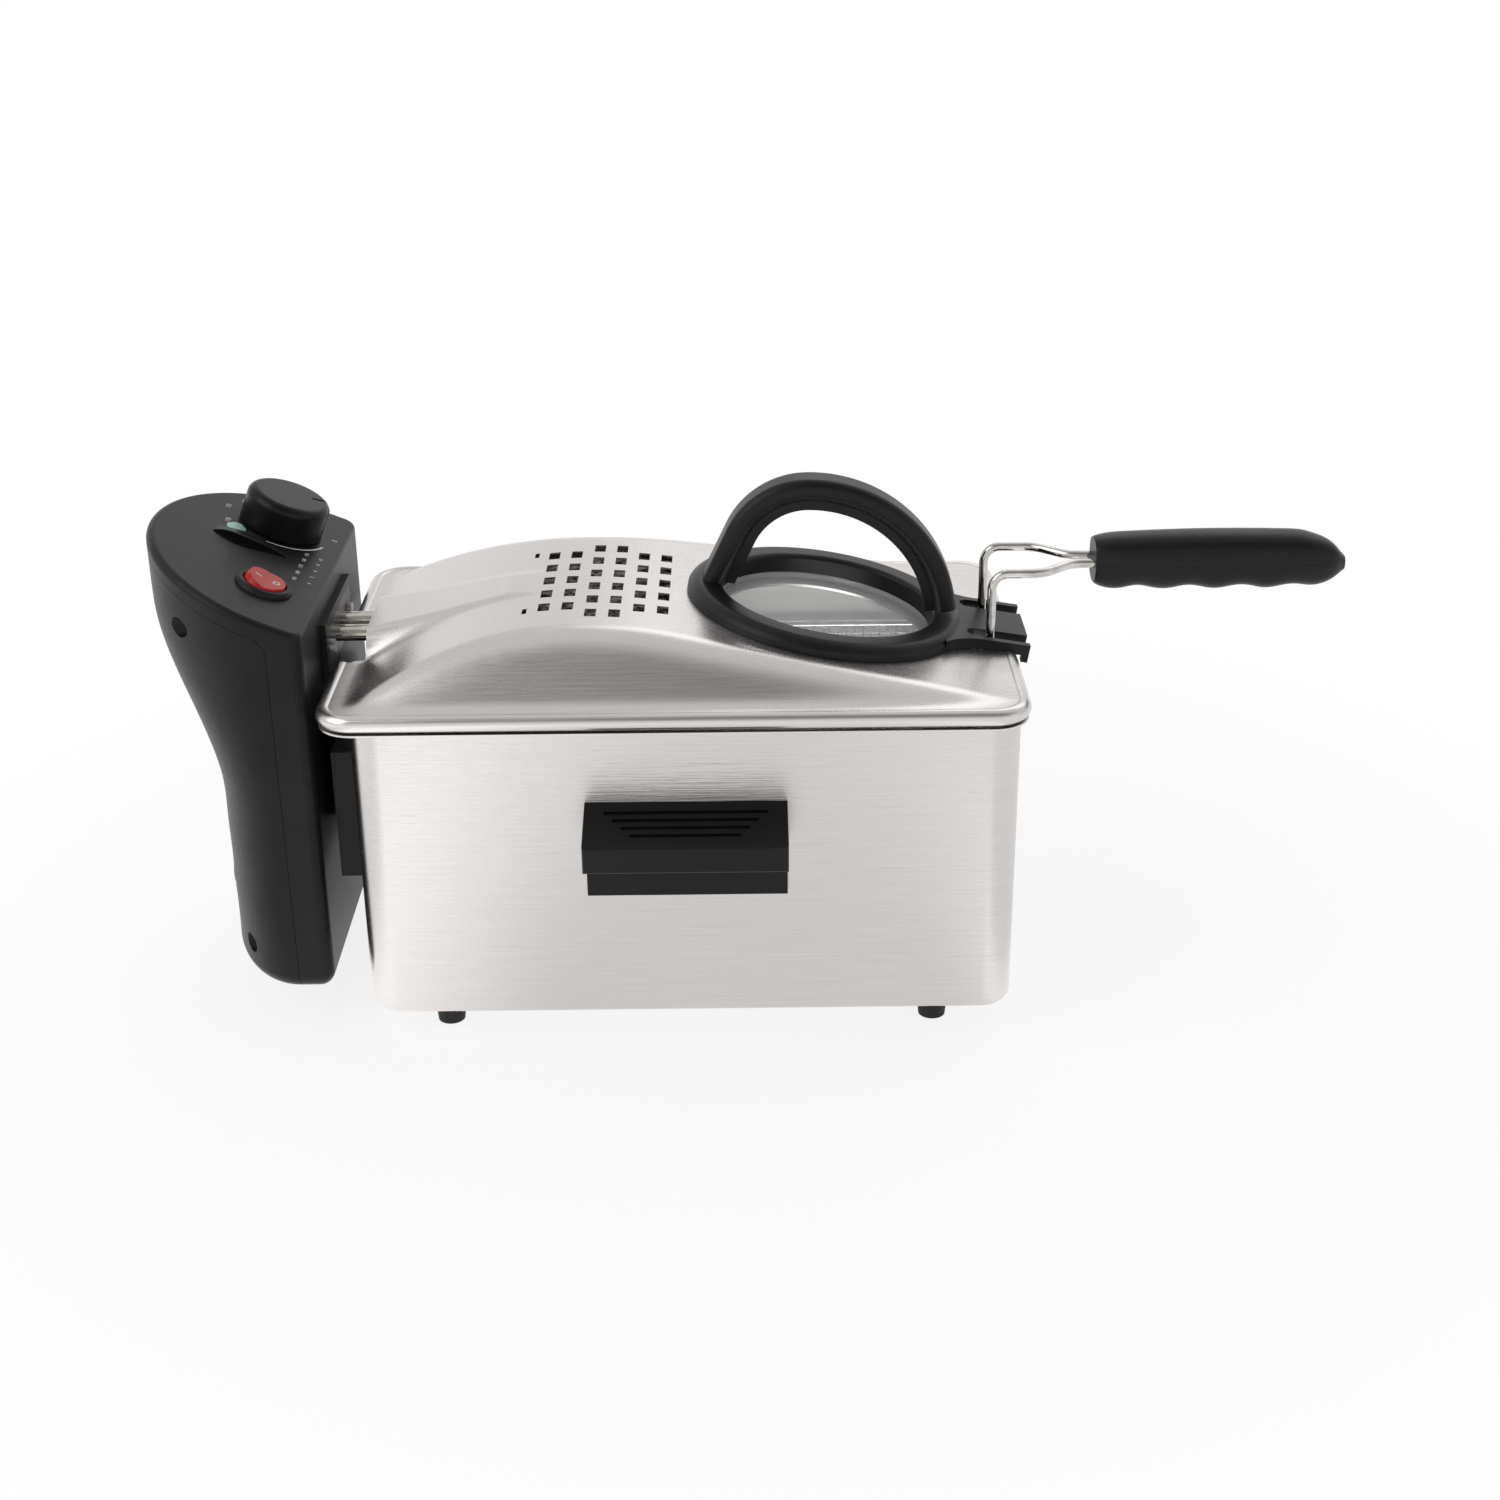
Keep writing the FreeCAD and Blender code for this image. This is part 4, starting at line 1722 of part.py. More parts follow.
def basket():
    """The wire basket: a rim, two hoops under it and five panels of mesh."""
    left = -float(basket_left)
    right = float(basket_right)
    half = float(dim.basket_half)
    top = float(basket_top)
    rim = float(dim.rim_wire)
    formed("basket_rim", rounded_ring(left, right, half, top, float(dim.basket_corner), rim))
    inside = rim + float(dim.mesh_gap)
    floor = float(mesh_floor)
    wall_floor = floor + float(dim.mesh_sheet)
    middle = (left + right) / 2
    length = (right - left) / 2 - inside
    depth = half - inside
    trim = 2 * (float(dim.basket_corner) - inside)
    high = top + rim - wall_floor
    level = wall_floor + high / 2
    east = Vector(1, 0, 0)
    north = Vector(0, 1, 0)
    up = Vector(0, 0, 1)
    wide = 2 * length - trim
    deep = 2 * depth - trim
    formed("basket_floor_mesh", mesh_panel(Vector(middle, 0, floor), east, north, wide, deep))
    formed("basket_front_mesh", mesh_panel(Vector(middle, -depth, level), -east, up, wide, high))
    formed("basket_back_mesh", mesh_panel(Vector(middle, depth, level), east, up, wide, high))
    formed("basket_left_mesh", mesh_panel(Vector(middle - length, 0, level), north, up, deep, high))
    formed("basket_right_mesh", mesh_panel(Vector(middle + length, 0, level), -north, up, deep, high))
    out = depth + float(dim.hoop_wire) + float(dim.mesh_gap)
    upper = top - rim - float(dim.fit_gap)
    low = float(hoop_z)
    for name, side in (("basket_hoop_left", -1), ("basket_hoop_right", 1)):
        x = middle + side * float(dim.hoop_spread)
        points = [Vector(x, -out, upper), Vector(x, -out, low), Vector(x, out, low), Vector(x, out, upper)]
        formed(name, bent_tube(points, [float(dim.hoop_bend)] * 2, float(dim.hoop_wire)))


wall_face = basket_right - dim.rim_wire - dim.mesh_gap


def wire_path():
    """Points of the handle wire from one lower end, over the rim, through the grip and back."""
    x = float(leg_x)
    y = float(dim.leg_y)
    z = float(wire_top)
    close = float(dim.wire_close)
    start = float(wall_face + dim.fit_gap)
    neck = float(grip_start - dim.wire_neck)
    far = float(grip_start + dim.wire_in_grip)
    half = [Vector(start, y, leg_bottom), Vector(x, y, leg_bottom), Vector(x, y, z)]
    half += [Vector(x + float(dim.wire_straight), y, z), Vector(neck, close, z), Vector(far, close, z)]
    bend = float(dim.wire_bend)
    bends = [bend * 0.8, bend, bend * 2, bend * 2, close * 0.999]
    points = half + [Vector(point.x, -point.y, point.z) for point in reversed(half)]
    return points, bends + bends[::-1]


def handle_wire():
    """The bent wire that carries the grip, and the bracket on the basket that takes its two ends."""
    points, bends = wire_path()
    formed("handle_wire", bent_tube(points, bends, float(dim.wire_radius)))
    body = new_body("handle_bracket", wall_face)
    sketch = new_sketch(body, "YZ_Plane")
    half = dim.bracket_half
    low = bracket_bottom
    high = low + dim.bracket_height
    outline(sketch, [(-half, low), (half, low), (half, high), (-half, high)])
    pad(body, sketch, dim.bracket_sheet)
    sketch = new_sketch(body, "YZ_Plane", dim.bracket_sheet)
    for side in (-1, 1):
        circle(sketch, side * dim.leg_y, leg_bottom, dim.wire_radius + dim.fit_gap)
    pocket(body, sketch, dim.bracket_sheet)


def grip_form():
    """The grip as a loft of rounded sections, with finger scallops below and a round end that droops."""
    length = float(dim.grip_length)
    mouth = float(dim.grip_mouth)
    mouth_run = float(dim.grip_mouth_run)
    nose = float(dim.grip_nose)
    pitch = float(dim.grip_scallop_pitch)
    bulge = float(dim.grip_round)
    wires = []
    station_count = 20
    for station in range(station_count + 1):
        share = station / station_count
        run = length * share
        past = max(0, run - length + nose) / nose
        end = math.sqrt(1 - (past * 0.96) ** 2)
        front = mouth + (1 - mouth) * smooth_step(0, mouth_run, run)
        wave = float(dim.grip_scallop) * (0.5 - 0.5 * math.cos(2 * math.pi * (run - float(dim.grip_bump)) / pitch))
        swell = math.sin(math.pi * share)
        up = float(dim.grip_rise) * front * end * (0.92 + 0.12 * swell)
        down = (float(dim.grip_sink) * front - wave) * end
        wide = float(dim.grip_half) * front * end * (0.9 + 0.1 * swell)
        x = float(grip_start) + run
        z = float(wire_top) - float(dim.grip_droop) * past * past
        points = [Vector(x, wide, z), Vector(x, 0, z + up), Vector(x, -wide, z), Vector(x, 0, z - down)]
        between = [
            Vector(x, wide * bulge, z + up * bulge),
            Vector(x, -wide * bulge, z + up * bulge),
            Vector(x, -wide * bulge, z - down * bulge),
            Vector(x, wide * bulge, z - down * bulge),
        ]
        curve = Part.BSplineCurve()
        loop = [point for pair in zip(points, between) for point in pair]
        curve.interpolate(Points=loop, PeriodicFlag=True)
        wires.append(Part.Wire([curve.toShape()]))
    return Part.makeLoft(wires, True, False)


def grip():
    """The grip in two halves, split along its wire and screwed together from below."""
    form = grip_form()
    points, bends = wire_path()
    form = form.cut(bent_tube(points, bends, float(dim.wire_radius + dim.fit_gap)))
    far = 2 * float(right_reach)
    middle = float(wire_top)
    gap = float(dim.grip_seam) / 2
    upper = form.common(block(0, far, -far, far, middle + gap, far))
    lower = form.common(block(0, far, -far, far, -far, middle - gap))
    head_z = wire_top - dim.grip_sink * 0.55
    spots = [(grip_start + dim.grip_length * share, 0, head_z) for share in (0.2, 0.72)]
    for x, y, z in spots:
        spot = Vector(x, y, z)
        lower = lower.cut(Part.makeCylinder(screw_hole, far, spot))
        lower = lower.cut(Part.makeCylinder(dim.screw_head + dim.screw_play, far, spot, Vector(0, 0, -1)))
        upper = upper.cut(Part.makeCylinder(screw_hole, float(dim.grip_rise) * 0.6, Vector(x, y, wire_top)))
    formed("grip_upper", upper)
    formed("grip_lower", lower)
    screws("grip_screws", spots, [Vector(0, 0, 1)] * 2, dim.grip_sink * 0.55 + dim.grip_rise * 0.5)


outer_housing()
base_plate()
feet()
side_handles()
mounting_block()
oil_pot()
control_covers()
cover_screws()
element_plate()
heating_element()
probes()
thermostat()
rocker_switch()
ready_light()
overheat_cutout()
inner_electrics()
cord_gland()
lid_shell()
window_bezel()
lid_handle()
window()
vent_filter()
basket()
handle_wire()
grip()

doc.recompute()
for thing in doc.Objects:
    if "Invalid" in thing.State or "Error" in thing.State:
        raise RuntimeError("%s did not build: %s" % (thing.Label, thing.State))
for piece in pieces:
    if piece.Shape.isNull() or not piece.Shape.isValid():
        raise RuntimeError("%s has no valid shape" % piece.Label)

os.makedirs("parts", exist_ok=True)
whole = FreeCAD.BoundBox()
for piece in pieces:
    piece.Shape.exportStep(os.path.join("parts", piece.Label + ".step"))
    whole.add(piece.Shape.BoundBox)
print(len(pieces), "pieces, box", [round(value, 2) for value in (whole.XMin, whole.XMax, whole.YMin, whole.YMax)])
print("height", round(whole.ZMin, 2), round(whole.ZMax, 2))
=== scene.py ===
# %% [markdown]
# This file dresses a deep fryer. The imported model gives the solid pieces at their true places, in metres,
# with Z up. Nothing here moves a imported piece: each gets a finish, and the pieces that need finer forms get
# new surfaces.

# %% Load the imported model
import math

import bpy
import numpy as np
from mathutils import Matrix


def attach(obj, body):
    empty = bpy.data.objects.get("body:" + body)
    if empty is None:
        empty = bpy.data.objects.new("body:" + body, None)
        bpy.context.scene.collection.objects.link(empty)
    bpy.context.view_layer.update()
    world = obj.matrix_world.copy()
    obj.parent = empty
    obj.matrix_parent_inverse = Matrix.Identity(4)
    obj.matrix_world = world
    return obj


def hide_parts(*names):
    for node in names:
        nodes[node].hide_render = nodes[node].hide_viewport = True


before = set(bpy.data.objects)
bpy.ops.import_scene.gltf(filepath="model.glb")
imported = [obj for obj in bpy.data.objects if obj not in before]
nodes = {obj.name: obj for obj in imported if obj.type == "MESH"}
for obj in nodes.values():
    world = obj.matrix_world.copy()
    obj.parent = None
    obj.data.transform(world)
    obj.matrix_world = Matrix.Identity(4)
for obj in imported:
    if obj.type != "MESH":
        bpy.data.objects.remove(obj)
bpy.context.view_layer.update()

scene = bpy.context.scene
scene.view_settings.view_transform = "Standard"
print("packed nodes:", len(nodes))

# %% [markdown]
# Places in this file are in millimetres from the middle of the housing, because that is how a maker would
# measure it. The housing sits 29 mm to the left of the middle of the whole object, where the shared origin
# is. The control deck is tilted: it slopes up to the left. A small function turns flat coordinates on it
# into places in the room.

# %% Places on the object
HOUSING_X = -29.0
DECK_TILT = math.radians(22.0)
DECK_FOOT = (-159.0, 186.5)


def metres(points):
    """Millimetres from the housing middle to metres from the shared origin."""
    return (np.asarray(points, float) + (HOUSING_X, 0.0, 0.0)) / 1000.0


def on_deck(u, v, w):
    """Deck coordinates to places: u runs up the slope, v to the back and w out of the deck."""
    u, v, w = np.broadcast_arrays(*(np.asarray(part, float) for part in (u, v, w)))
    x = DECK_FOOT[0] - u * math.cos(DECK_TILT) + w * math.sin(DECK_TILT)
    z = DECK_FOOT[1] + u * math.sin(DECK_TILT) + w * math.cos(DECK_TILT)
    return np.stack([x, v, z], -1)


print("deck middle:", on_deck(38, 0, 0).round(1))

# %% [markdown]
# The camera stands where the picture was taken from: in front, a little over half a metre above the table.
# Its lens and place were worked out from the edges of the steel box, whose four corners lie on known
# planes. The turn is written as three directions, right, up and back, which are the columns of the camera's
# matrix.

# %% Camera
CAMERA_PLACE = np.array([24.46, -926.55, 520.87])
CAMERA_PITCH, CAMERA_YAW, CAMERA_ROLL = np.radians([24.487, 0.138, -0.556])
FOCAL_PIXELS = 2201.7
FRAME_PIXELS = 1500
FRAME_MIDDLE = 748
SENSOR_MM = 36.0

forward = np.array([
    math.sin(CAMERA_YAW) * math.cos(CAMERA_PITCH),
    math.cos(CAMERA_YAW) * math.cos(CAMERA_PITCH),
    -math.sin(CAMERA_PITCH),
])
level_right = np.array([math.cos(CAMERA_YAW), -math.sin(CAMERA_YAW), 0.0])
level_up = np.cross(level_right, forward)
right = math.cos(CAMERA_ROLL) * level_right + math.sin(CAMERA_ROLL) * level_up
up = math.cos(CAMERA_ROLL) * level_up - math.sin(CAMERA_ROLL) * level_right

camera_data = bpy.data.cameras.new("front_camera")
camera_data.sensor_width = SENSOR_MM
camera_data.lens = FOCAL_PIXELS / FRAME_PIXELS * SENSOR_MM
camera_data.shift_x = (FRAME_PIXELS / 2 - FRAME_MIDDLE) / FRAME_PIXELS
camera = bpy.data.objects.new("front_camera", camera_data)
scene.collection.objects.link(camera)
turn = np.eye(4)
turn[:3, :3] = np.stack([right, up, -forward], 1)
turn[:3, 3] = metres(CAMERA_PLACE)
camera.matrix_world = Matrix(turn.tolist())
scene.camera = camera
print("lens %.2f mm" % camera_data.lens)

# %% [markdown]
# Every new piece is a grid of points that numpy works out, so one function turns such points into a mesh.
# A face should look outwards, and a closed shape tells which way that is by its volume:
# the sum of the small pyramids from the origin to each face is negative when the faces look inwards.

# %% Meshes from arrays
def grid_quads(rows, columns, wrap_rows=False, wrap_columns=False):
    """Corner numbers of the faces of a grid: each joins a point to its next neighbours, round the end if
    wrapped."""
    row = np.arange(rows if wrap_rows else rows - 1)[:, None]
    column = np.arange(columns if wrap_columns else columns - 1)[None, :]
    next_row, next_column = (row + 1) % rows, (column + 1) % columns
    corners = [row * columns + column, row * columns + next_column]
    corners += [next_row * columns + next_column, next_row * columns + column]
    return np.stack(np.broadcast_arrays(*corners), -1).reshape(-1, 4)


def signed_volume(points, faces):
    """The volume inside the faces: a sixth of the triple product of each triangle of each face, added up."""
    corner = points[faces]
    total = 0.0
    for last in range(2, faces.shape[1]):
        total += np.einsum("ij,ij->i", corner[:, 0], np.cross(corner[:, last - 1], corner[:, last])).sum()
    return total / 6.0


def make_piece(name, points, faces, material, body, smooth=True, closed=True):
    """Puts points, in millimetres from the housing middle, and faces into a mesh that rides on a body."""
    points = metres(np.asarray(points).reshape(-1, 3))
    faces = np.asarray(faces)
    if closed and signed_volume(points - points.mean(0), faces) < 0:
        faces = faces[:, ::-1]
    mesh = bpy.data.meshes.new(name)
    mesh.from_pydata(points.tolist(), [], faces.tolist())
    mesh.polygons.foreach_set("use_smooth", np.full(len(mesh.polygons), smooth))
    mesh.materials.append(material)
    mesh.update()
    piece = bpy.data.objects.new(name, mesh)
    scene.collection.objects.link(piece)
    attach(piece, body)
    print("%s: %d faces" % (name, len(mesh.polygons)))
    return piece


# %% [markdown]
# Finishes are built from nodes. A colour is easiest to read as the hex value that a picture shows, but
# shaders count light, so one function undoes the curve that screens use. One more function adds a node:
# sockets get either a number or a link, and keywords set the node's own options.

# %% Helpers for finishes
def colour(text):
    """An sRGB hex colour as linear light: each channel goes through the inverse of the screen curve."""
    channels = np.array([int(text[i:i + 2], 16) for i in (1, 3, 5)]) / 255.0
    linear = np.where(channels <= 0.04045, channels / 12.92, ((channels + 0.055) / 1.055) ** 2.4)
    return (*linear.tolist(), 1.0)


def add(tree, kind, sockets=None, **options):
    """Adds one node, sets its options, and fills its sockets with values or links."""
    node = tree.nodes.new(kind)
    for name, value in options.items():
        setattr(node, name, value)
    for name, value in (sockets or {}).items():
        if isinstance(value, bpy.types.NodeSocket):
            tree.links.new(value, node.inputs[name])
        else:
            node.inputs[name].default_value = value
    return node


def new_finish(name, **shader):
    """A material with one Principled shader, whose plain numbers are set on its own sockets."""
    material = bpy.data.materials.new(name)
    material.use_nodes = True
    tree = material.node_tree
    tree.nodes.clear()
    sockets = {key.replace("_", " "): value for key, value in shader.items()}
    surface = add(tree, "ShaderNodeBsdfPrincipled", sockets)
    add(tree, "ShaderNodeOutputMaterial", {"Surface": surface.outputs["BSDF"]})
    return material, tree, surface


def per_metre(millimetres):
    """How often a pattern of that size repeats in a metre."""
    return 1000.0 / millimetres


print("mid grey in linear light: %.3f" % colour("#808080")[0])

# %% [markdown]
# Every finish has a faint pattern in its colour. A noise keeps near its middle value, so only the middle
# part of its range is spread out: below it the colour is the dark one, above it the light one.

# %% Two colours by a noise
RELIEF = 0.0002


def dapple(tree, surface, noise, low, high, dark, light):
    """Steers the base colour: while the noise climbs from low to high, the colour goes from dark to light."""
    tone = add(tree, "ShaderNodeMapRange", {0: noise, 1: low, 2: high}).outputs[0]
    ends = {"Factor": tone, 6: colour(dark), 7: colour(light)}
    shade = add(tree, "ShaderNodeMix", ends, data_type="RGBA").outputs[2]
    tree.links.new(shade, surface.inputs["Base Color"])


print("relief of a pattern: %.1f mm" % (RELIEF * 1000))

# %% [markdown]
# The housing and the lid are brushed stainless sheet. A belt of grit draws fine lines along the sheet, so
# light stays sharp along the lines and spreads across them. Noise that is stretched a hundred times along
# the brushing does that: it tips the surface by a hair and makes it a little rougher or smoother from line
# to line. Real lines are a tenth of a millimetre wide, too fine to show here, so they are drawn about three
# times as wide. Round the walls the lines run level, so their noise is fine in height alone; on the lid
# they run along its length.

# %% Brushed stainless steel
def brushed_stainless(name, light, dark, roughness, stretch, bump):
    """Brushed sheet: a noise with grains of the stretched size, in mm, steers colour, gloss and a slight
    bump."""
    material, tree, surface = new_finish(name, Metallic=1.0)
    place = add(tree, "ShaderNodeTexCoord").outputs["Object"]
    scale = [per_metre(size) for size in stretch]
    way = add(tree, "ShaderNodeMapping", {"Vector": place, "Scale": scale}).outputs[0]
    grit = {"Vector": way, "Scale": 1.0, "Detail": 3.0, "Roughness": 0.6}
    lines = add(tree, "ShaderNodeTexNoise", grit).outputs[0]
    dapple(tree, surface, lines, 0.3, 0.7, dark, light)
    smooth, rough = roughness - 0.03, roughness + 0.04
    gloss = add(tree, "ShaderNodeMapRange", {0: lines, 1: 0.3, 2: 0.7, 3: smooth, 4: rough})
    relief = add(tree, "ShaderNodeBump", {"Strength": bump, "Distance": RELIEF, "Height": lines})
    tree.links.new(gloss.outputs[0], surface.inputs["Roughness"])
    tree.links.new(relief.outputs[0], surface.inputs["Normal"])
    return material


ROUND_WALLS, ALONG_LID = (40.0, 40.0, 0.35), (40.0, 0.4, 0.4)
housing_steel = brushed_stainless("brushed_stainless_housing", "#d5d1cf", "#cbc7c5", 0.22, ROUND_WALLS, 0.45)
lid_steel = brushed_stainless("brushed_stainless_lid", "#dad6d4", "#d0ccca", 0.27, ALONG_LID, 0.06)
print("brushed steel:", housing_steel.name, lid_steel.name)

# %% [markdown]
# The other metals are plainer. The pot is drawn from sheet and stays satin; the heating tube is a bright
# nickel alloy; the small plate that holds it is blackened; the basket and its handle wire are chrome
# plated; the screws are zinc plated. A soft noise of the size of a fingertip keeps each from looking like a
# mirror ball.

# %% Plain metals
def plain_metal(name, light, dark, roughness, patch, spread=0.06):
    """A smooth metal: one soft noise with patches of a given size, in mm, changes colour and gloss a
    little."""
    material, tree, surface = new_finish(name, Metallic=1.0)
    place = add(tree, "ShaderNodeTexCoord").outputs["Object"]
    size = {"Vector": place, "Scale": per_metre(patch), "Detail": 3.0}
    patches = add(tree, "ShaderNodeTexNoise", size).outputs[0]
    dapple(tree, surface, patches, 0.35, 0.65, dark, light)
    ends = {0: patches, 1: 0.3, 2: 0.7, 3: roughness + spread, 4: roughness}
    gloss = add(tree, "ShaderNodeMapRange", ends)
    tree.links.new(gloss.outputs[0], surface.inputs["Roughness"])
    return material


pot_steel = plain_metal("satin_drawn_stainless", "#d8d5d1", "#d0cdc9", 0.30, patch=30.0, spread=0.02)
tube_nickel = plain_metal("bright_nickel_tube", "#dcd9d4", "#b8b2a8", 0.14, patch=9.0)
plate_steel = plain_metal("blackened_steel_plate", "#4a494b", "#323133", 0.32, patch=10.0)
chrome = plain_metal("chrome_plated_wire", "#d6d3cf", "#bab7b3", 0.07, patch=8.0, spread=0.04)
zinc = plain_metal("zinc_plated_screw", "#c9c8c6", "#9d9b98", 0.30, patch=3.0)
print("plain metals:", pot_steel.name, tube_nickel.name, plate_steel.name, chrome.name, zinc.name)

# %% [markdown]
# The black pieces are injection moulded. The covers come out of a mould with a fine sparked grain, which
# breaks up reflections into a grey sheen; the knob, handles and grip are a deeper black. Plastic reflects
# only a few percent head-on, so most of what the eye sees on it is this sheen at a low angle. The real
# grain is about a fifth of a millimetre and is drawn at half a millimetre, so that a render can hold it.
# Rubber and silicone are the same kind of skin, only rougher. The filter pad is painted dark for the shade
# inside the vents, and its pale specks are painted glints.

# %% Moulded plastics, rubber and felt
def moulded(name, light, dark, roughness, grain=0.5, bump=0.12, specular=0.4, patch=25.0):
    """A moulded skin: fine grain noise tips the surface, and a broad noise shades the colour a little."""
    material, tree, surface = new_finish(name, Specular_IOR_Level=specular)
    place = add(tree, "ShaderNodeTexCoord").outputs["Object"]
    sizes = [{"Vector": place, "Scale": per_metre(size), "Detail": 2.0} for size in (grain, patch)]
    pits, cloud = [add(tree, "ShaderNodeTexNoise", size).outputs[0] for size in sizes]
    dapple(tree, surface, cloud, 0.35, 0.65, dark, light)
    smooth, rough = roughness - 0.04, roughness + 0.06
    gloss = add(tree, "ShaderNodeMapRange", {0: pits, 1: 0.3, 2: 0.7, 3: smooth, 4: rough})
    relief = add(tree, "ShaderNodeBump", {"Strength": bump, "Distance": RELIEF, "Height": pits})
    tree.links.new(gloss.outputs[0], surface.inputs["Roughness"])
    tree.links.new(relief.outputs[0], surface.inputs["Normal"])
    return material


cover_abs = moulded("grained_black_abs", "#1b1b1d", "#151517", 0.38, specular=0.18)
handle_abs = moulded("satin_black_phenolic", "#121213", "#0e0e0f", 0.36, bump=0.08, specular=0.24)
knob_abs = moulded("deep_black_knob_abs", "#0e0e0f", "#0b0b0c", 0.32, bump=0.02, specular=0.20)
# Painted shade: a matt black for the brow's hollow front, standing in for the shade that falls there.
painted_shade_black = moulded("painted_shade_brow_hollow", "#070707", "#050505", 0.8, specular=0.05)
inner_abs = moulded("plain_grey_nylon", "#8b8a86", "#7b7a77", 0.5)
foot_rubber = moulded("black_foot_rubber", "#1b1b1b", "#151515", 0.7, grain=0.8)
seal_rubber = moulded("dark_seal_silicone", "#2b2a29", "#232221", 0.6)
# The filter's dark ground is painted shade for the insides of the vents, and its pale specks are painted
# glints.
filter_pad_shade_and_glints = moulded("filter_pad_painted_shade_and_glints", "#b9b8b4", "#171717", 0.9, grain=0.8, bump=0.8,
                      specular=0.1, patch=2.6)
print("moulded:", cover_abs.name, handle_abs.name, knob_abs.name, filter_pad_shade_and_glints.name)

# %% [markdown]
# Three pieces let light through: the window is toughened glass, the rocker is red acrylic,
# and the ready light is a pale green lens. Each keeps a little roughness, because handling dulls it.
# The pane is thin and hardly bends light, so it is made as a veil: most light goes straight through,
# and the rest is a pale grey layer, a painted reflection of the bright studio that the glass mirrors.

# %% Clear pieces
GLASS_PAINTED_SHEEN = 0.22


def clear(name, tint, roughness, spread, speck, specular=0.5, transmission=0.15, veil=1.0):
    """A clear moulding: a faint smear noise of a given size, in mm, roughens its gloss by up to the
    spread."""
    looks = {"Transmission_Weight": transmission, "IOR": 1.5, "Specular_IOR_Level": specular, "Alpha": veil}
    material, tree, surface = new_finish(name, **looks)
    surface.inputs["Base Color"].default_value = colour(tint)
    place = add(tree, "ShaderNodeTexCoord").outputs["Object"]
    size = {"Vector": place, "Scale": per_metre(speck), "Detail": 4.0}
    smear = add(tree, "ShaderNodeTexNoise", size).outputs[0]
    ends = {0: smear, 1: 0.3, 2: 0.7, 3: roughness, 4: roughness + spread}
    gloss = add(tree, "ShaderNodeMapRange", ends)
    tree.links.new(gloss.outputs[0], surface.inputs["Roughness"])
    return material


# The window's pale veil is a painted reflection: its grey stands in for the bright studio mirrored in the
# glass.
window_glass = clear("toughened_window_glass", "#f2f4f5", 0.01, 0.02, 30.0, transmission=0.0, veil=GLASS_PAINTED_SHEEN)
red_acrylic = clear("red_rocker_acrylic", "#b40a06", 0.14, 0.08, 4.0, specular=0.22)
green_lens = clear("pale_green_lens", "#a9ccbf", 0.06, 0.08, 3.0)
print("clear:", window_glass.name, red_acrylic.name, green_lens.name)

# %% [markdown]
# The numbers and marks are pad printed: a soft pad lays down a thin film of white ink.
# The film is never quite even, so a noise of just under a millimetre greys it in places.

# %% Printed ink
white_print, ink_tree, ink_surface = new_finish("white_pad_print", Roughness=0.55)
ink_place = add(ink_tree, "ShaderNodeTexCoord").outputs["Object"]
ink_size = {"Vector": ink_place, "Scale": per_metre(0.8), "Detail": 2.0}
ink_film = add(ink_tree, "ShaderNodeTexNoise", ink_size).outputs[0]
ink_ends = {"Factor": ink_film, 6: colour("#c9c9cb"), 7: colour("#f2f2f3")}
ink_tone = add(ink_tree, "ShaderNodeMix", ink_ends, data_type="RGBA").outputs[2]
ink_tree.links.new(ink_tone, ink_surface.inputs["Base Color"])
print("ink:", white_print.name)

# %% [markdown]
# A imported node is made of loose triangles. Weld joins them, Edge Split keeps creases over thirty degrees
# sharp, and Weighted Normal lets the large flat faces decide the shading, so that flat walls stay flat
# beside round edges.

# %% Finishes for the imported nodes
FINISHES = {
    housing_steel: ["outer_housing", "base_plate"],
    pot_steel: ["oil_pot", "window_retainer", "filter_tray", "probe_clip"],
    plate_steel: ["element_plate"],
    tube_nickel: ["heating_element", "thermostat_probe", "cutout_probe"],
    chrome: ["basket_rim", "basket_hoop_left", "basket_hoop_right", "handle_wire", "handle_bracket"],
    zinc: ["foot_screws", "side_handle_screws", "mounting_block_screws", "cover_screws", "element_plate_screws",
           "retainer_screws", "grip_screws", "thermostat_shaft"],
    cover_abs: ["inner_cover", "outer_cover", "mounting_block", "switch_body", "cord_gland"],
    handle_abs: ["side_handle_front", "side_handle_back", "window_bezel", "lid_handle",
                 "grip_upper", "grip_lower"],
    knob_abs: ["thermostat_knob"],
    inner_abs: ["thermostat_body", "cutout_body", "interlock_switch", "terminal_block"],
    foot_rubber: ["foot_front_left", "foot_front_right", "foot_back_left", "foot_back_right"],
    seal_rubber: ["window_seal"],
    filter_pad_shade_and_glints: ["filter_pad"],
    window_glass: ["window_glass"],
    red_acrylic: ["rocker", "reset_button"],
    green_lens: ["ready_lens"],
}
CREASE = math.radians(30.0)
WELD_REACH = 1e-6


def keep_creases(piece):
    """Lets the shading break along every edge that is sharper than the crease angle."""
    split = piece.modifiers.new("creases", "EDGE_SPLIT")
    split.split_angle = CREASE


def dress(node, finish):
    """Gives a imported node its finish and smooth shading."""
    mesh = node.data
    mesh.materials.clear()
    mesh.materials.append(finish)
    mesh.polygons.foreach_set("material_index", np.zeros(len(mesh.polygons), int))
    mesh.polygons.foreach_set("use_smooth", np.ones(len(mesh.polygons), bool))
    weld = node.modifiers.new("weld", "WELD")
    weld.merge_threshold = WELD_REACH
    keep_creases(node)
    flat = node.modifiers.new("flat_walls", "WEIGHTED_NORMAL")
    flat.keep_sharp = True


for finish, names in FINISHES.items():
    for name in names:
        dress(nodes[name], finish)
print("dressed:", sum(len(names) for names in FINISHES.values()))

# %% [markdown]
# The lid is pressed from one sheet, so its edges are never sharp. Its height over the flat flange is a
# formula. The crown is an arc up to the crest, a wide arc past it and a straight fall. The front and back
# lean in like a roof. The lower of crown and roof is the lid, and where the two are close the join is
# rounded off by a soft minimum: the nearer the two heights, the more is taken off. The hood over the tubes
# is added the same way by a soft maximum.

